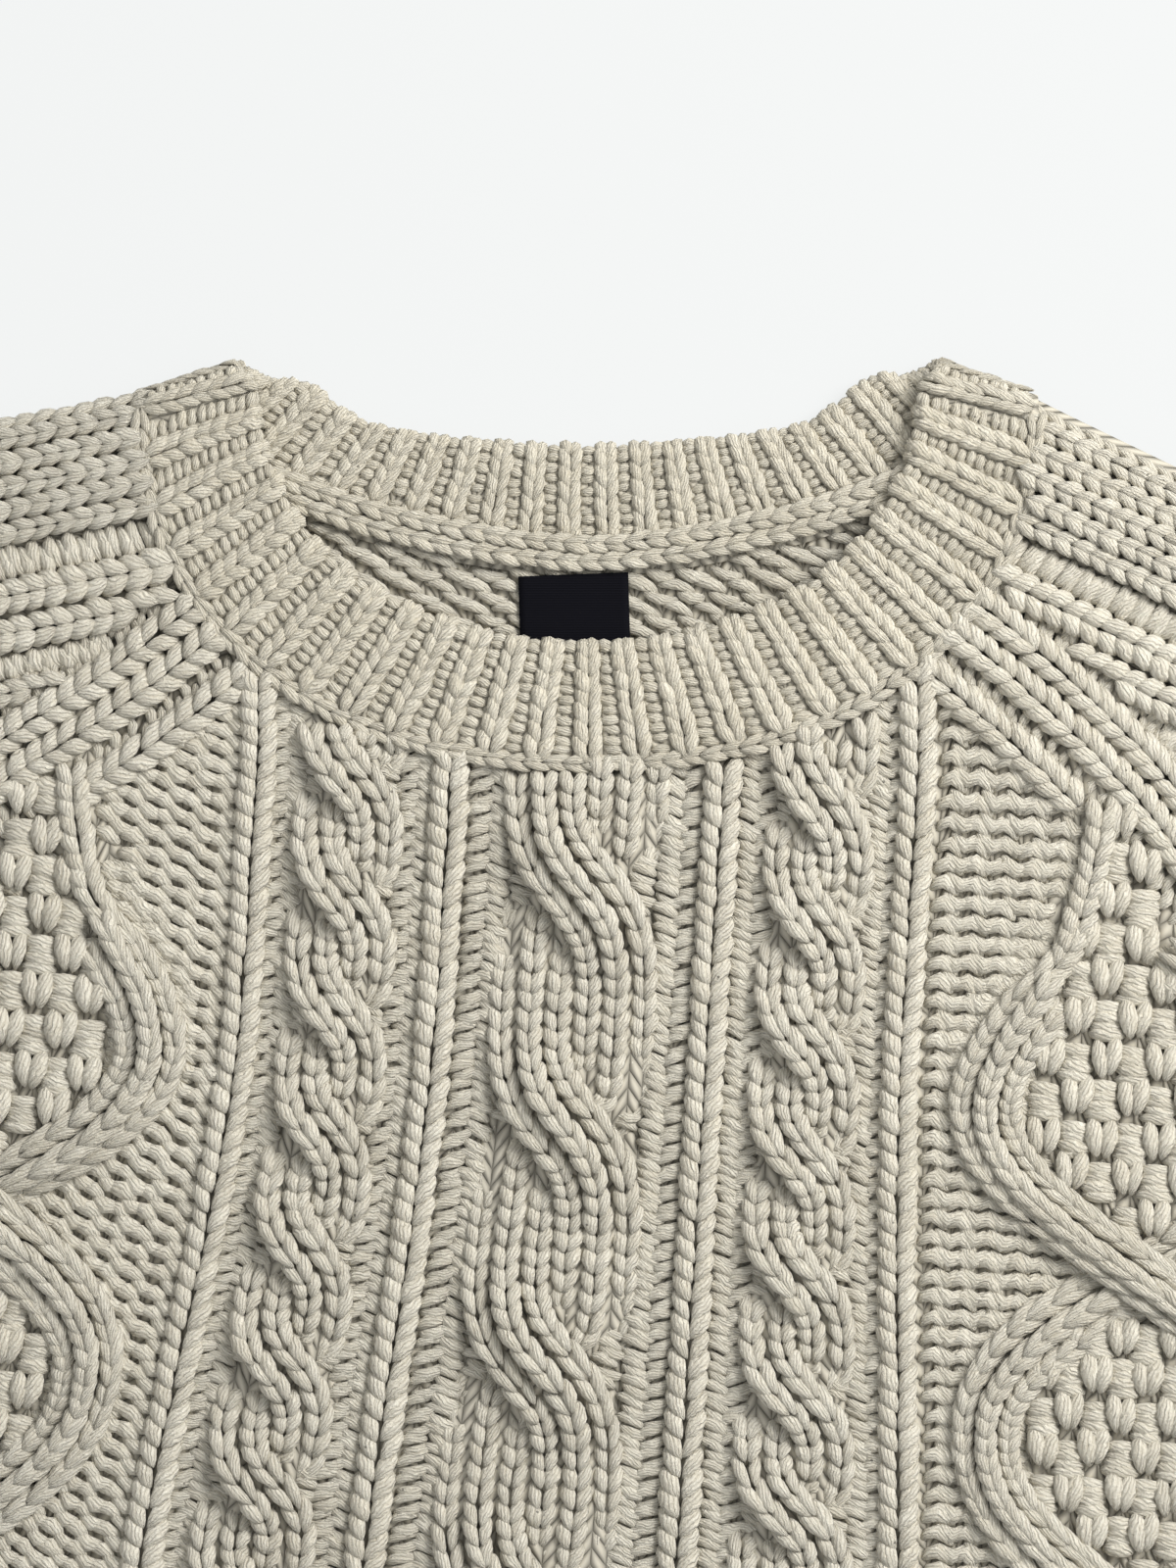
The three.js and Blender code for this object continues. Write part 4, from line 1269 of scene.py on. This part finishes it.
def makeCuff(name, side):
    ribs = {"count": 8, "row": 3.6, "width": 74, "length": 46}
    top, low = ringEnds(side, sleeve["rings"][-1])
    middle = (top + low) / 2
    across = unit(top - low)
    along = np.array([side * across[1], -side * across[0]])
    radius = sleeve["radius"]
    half = ribs["width"] / 2

    def field(u, v, high):
        # u runs from the lower fold to the upper one and on round both
        over = np.maximum(0, np.abs(u) - half)
        angle = np.clip(over / radius, 0, math.pi)
        reach = radius + high - body["wall"]
        flat = np.clip(u, -half, half) + np.sign(u) * reach * np.sin(angle)
        z = np.where(over > 0, radius + reach * np.cos(angle), body["frontBase"] + high)
        x = middle[0] + across[0] * flat + along[0] * v
        y = middle[1] + across[1] * flat + along[1] * v
        return stack(x, y + originY, z)
    pitch = ribs["width"] / ribs["count"]
    leg = dict(legLook, row=ribs["row"], width=5.8, radius=1.65)
    dip = dict(purlLook, row=ribs["row"], width=4.3, radius=1.05, shift=0.0, bow=0.12, high=2.2)
    rows = np.arange(1.0, ribs["length"] - 3, ribs["row"])
    strands = []
    for number in range(-1, ribs["count"] + 1):
        centre = -half + (number + 0.5) * pitch
        strands += knitWale(field, rows, straight(centre, 3.6), leg)
        strands += purlBumps(field, np.full(len(rows), centre + pitch / 2), rows + 1, dip)
    stitches = yarnPieces(f"{name}_stitches", strands, bodyYarn)
    full = 2 * ribs["width"] + 2 * math.pi * radius

    def place(p, q):
        run = p * full
        bend = math.pi * radius
        first, second = ribs["width"], ribs["width"] + bend
        u = np.where(run < first, run - half, np.where(run < second, half + run - first, 0))
        lower = (run >= second) & (run < second + ribs["width"])
        back = run >= second + ribs["width"]
        top = field(u, 0.4 + q * (ribs["length"] - 0.8), 2.2 + 0 * p)
        flatU = half - (run - second)
        angle = np.where(back, (run - second - ribs["width"]) / radius, 0)
        reach = radius - 1.4
        plainU = np.where(lower, flatU, -half - reach * np.sin(angle))
        plainZ = np.where(lower, radius - reach, radius - reach * np.cos(angle))
        v = 0.4 + q * (ribs["length"] - 0.8)
        x = middle[0] + across[0] * plainU + along[0] * v
        y = middle[1] + across[1] * plainU + along[1] * v + originY
        plain = stack(x, y, plainZ)
        return np.where((lower | back)[:, None], plain, top)
    shell = gridPiece(f"{name}_cloth", 96, 6, place, (full, 46), 1.4, innerClothPaintedShade, closed=True)
    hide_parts(name)


makeHems()
makeCuff("cuff_left", -1)
makeCuff("cuff_right", 1)
print("ribs made")


# Neck label: a small black woven ribbon, left bare

label = {"left": -14.9, "right": 8.6, "top": 384.6, "length": 21, "skew": 0.6, "slope": 0.04, "level": 4.6,
         "thick": 0.5}


def makeBlack():
    material = bpy.data.materials.new("blackRibbon")
    material.use_nodes = True
    tree = material.node_tree
    shader = tree.nodes["Principled BSDF"]
    shader.inputs["Roughness"].default_value = 0.9
    shader.inputs["Specular IOR Level"].default_value = 0.06
    place = addNode(tree, "ShaderNodeTexCoord")
    weave = addNode(tree, "ShaderNodeTexWave", wave_type="BANDS", bands_direction="Y")
    weave.inputs["Scale"].default_value = 900
    weave.inputs["Distortion"].default_value = 0.6
    link(tree, place.outputs["Object"], weave.inputs["Vector"])
    tint = addNode(tree, "ShaderNodeMix", data_type="RGBA")
    tint.inputs[6].default_value = (0.002, 0.002, 0.003, 1)
    tint.inputs[7].default_value = (0.008, 0.008, 0.012, 1)
    link(tree, weave.outputs["Fac"], tint.inputs["Factor"])
    link(tree, tint.outputs[2], shader.inputs["Base Color"])
    bump = addNode(tree, "ShaderNodeBump")
    bump.inputs["Distance"].default_value = 0.05 * mm
    link(tree, weave.outputs["Fac"], bump.inputs["Height"])
    link(tree, bump.outputs["Normal"], shader.inputs["Normal"])
    return material


def makeLabel():
    def place(p, q):
        across = label["left"] + (label["right"] - label["left"]) * p
        up = label["top"] - label["length"] * (1 - q) + across * label["slope"]
        wave = 0.12 * np.sin(5 * p) + 0.1 * np.cos(4 * q)
        return stack(across + label["skew"] * (1 - q), up + originY, label["level"] + wave)
    ribbon = gridPiece("neck_label_ribbon", 16, 12, place, (23.5, 21), label["thick"], makeBlack())
    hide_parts("neck_label")


makeLabel()
print("label made")


# Pale table, soft light and the camera straight above the neck

studio = {"middleY": 130.7, "frameHigh": 336, "distance": 1500, "world": 0.55, "key": 3.9, "spread": 84,
          "table": 0.79}


def makeStudio():
    floor = bpy.data.meshes.new("table")
    form = bmesh.new()
    bmesh.ops.create_grid(form, x_segments=1, y_segments=1, size=3)
    form.to_mesh(floor)
    form.free()
    plane = bpy.data.objects.new("table", floor)
    plane.location.z = -0.0002
    bpy.context.scene.collection.objects.link(plane)
    pale = bpy.data.materials.new("paleTable")
    pale.use_nodes = True
    shader = pale.node_tree.nodes["Principled BSDF"]
    shader.inputs["Base Color"].default_value = (0.098, 0.1, 0.1, 1)
    shader.inputs["Roughness"].default_value = 1.0
    shader.inputs["Specular IOR Level"].default_value = 0.0
    shader.inputs["Emission Color"].default_value = (0.985, 1.0, 0.995, 1)
    shader.inputs["Emission Strength"].default_value = studio["table"]
    floor.materials.append(pale)
    world = bpy.data.worlds.new("room")
    bpy.context.scene.world = world
    world.use_nodes = True
    back = world.node_tree.nodes["Background"]
    back.inputs["Color"].default_value = (0.97, 0.985, 1.0, 1)
    back.inputs["Strength"].default_value = studio["world"]
    lamp = bpy.data.lights.new("softKey", "AREA")
    lamp.shape = "RECTANGLE"
    lamp.size, lamp.size_y = 0.8, 0.6
    lamp.spread = math.radians(studio["spread"])
    lamp.energy = studio["key"]
    lamp.color = (1.0, 0.985, 0.96)
    key = bpy.data.objects.new("softKey", lamp)
    key.location = (0.72, 0.62, 0.68)
    aim = Vector((0.12, 0.2, 0)) - key.location
    key.rotation_euler = aim.to_track_quat("-Z", "Y").to_euler()
    bpy.context.scene.collection.objects.link(key)
    view = bpy.data.cameras.new("overhead")
    view.sensor_width = 36
    view.lens = 36 * studio["distance"] / studio["frameHigh"]
    view.dof.use_dof = False
    camera = bpy.data.objects.new("overhead", view)
    camera.location = (0, studio["middleY"] * mm, studio["distance"] * mm)
    bpy.context.scene.collection.objects.link(camera)
    bpy.context.scene.camera = camera
    bpy.context.scene.view_settings.view_transform = "Standard"
    bpy.context.scene.view_settings.look = "None"


makeStudio()
print(f"studio made, {sum(totals)} triangles in all")
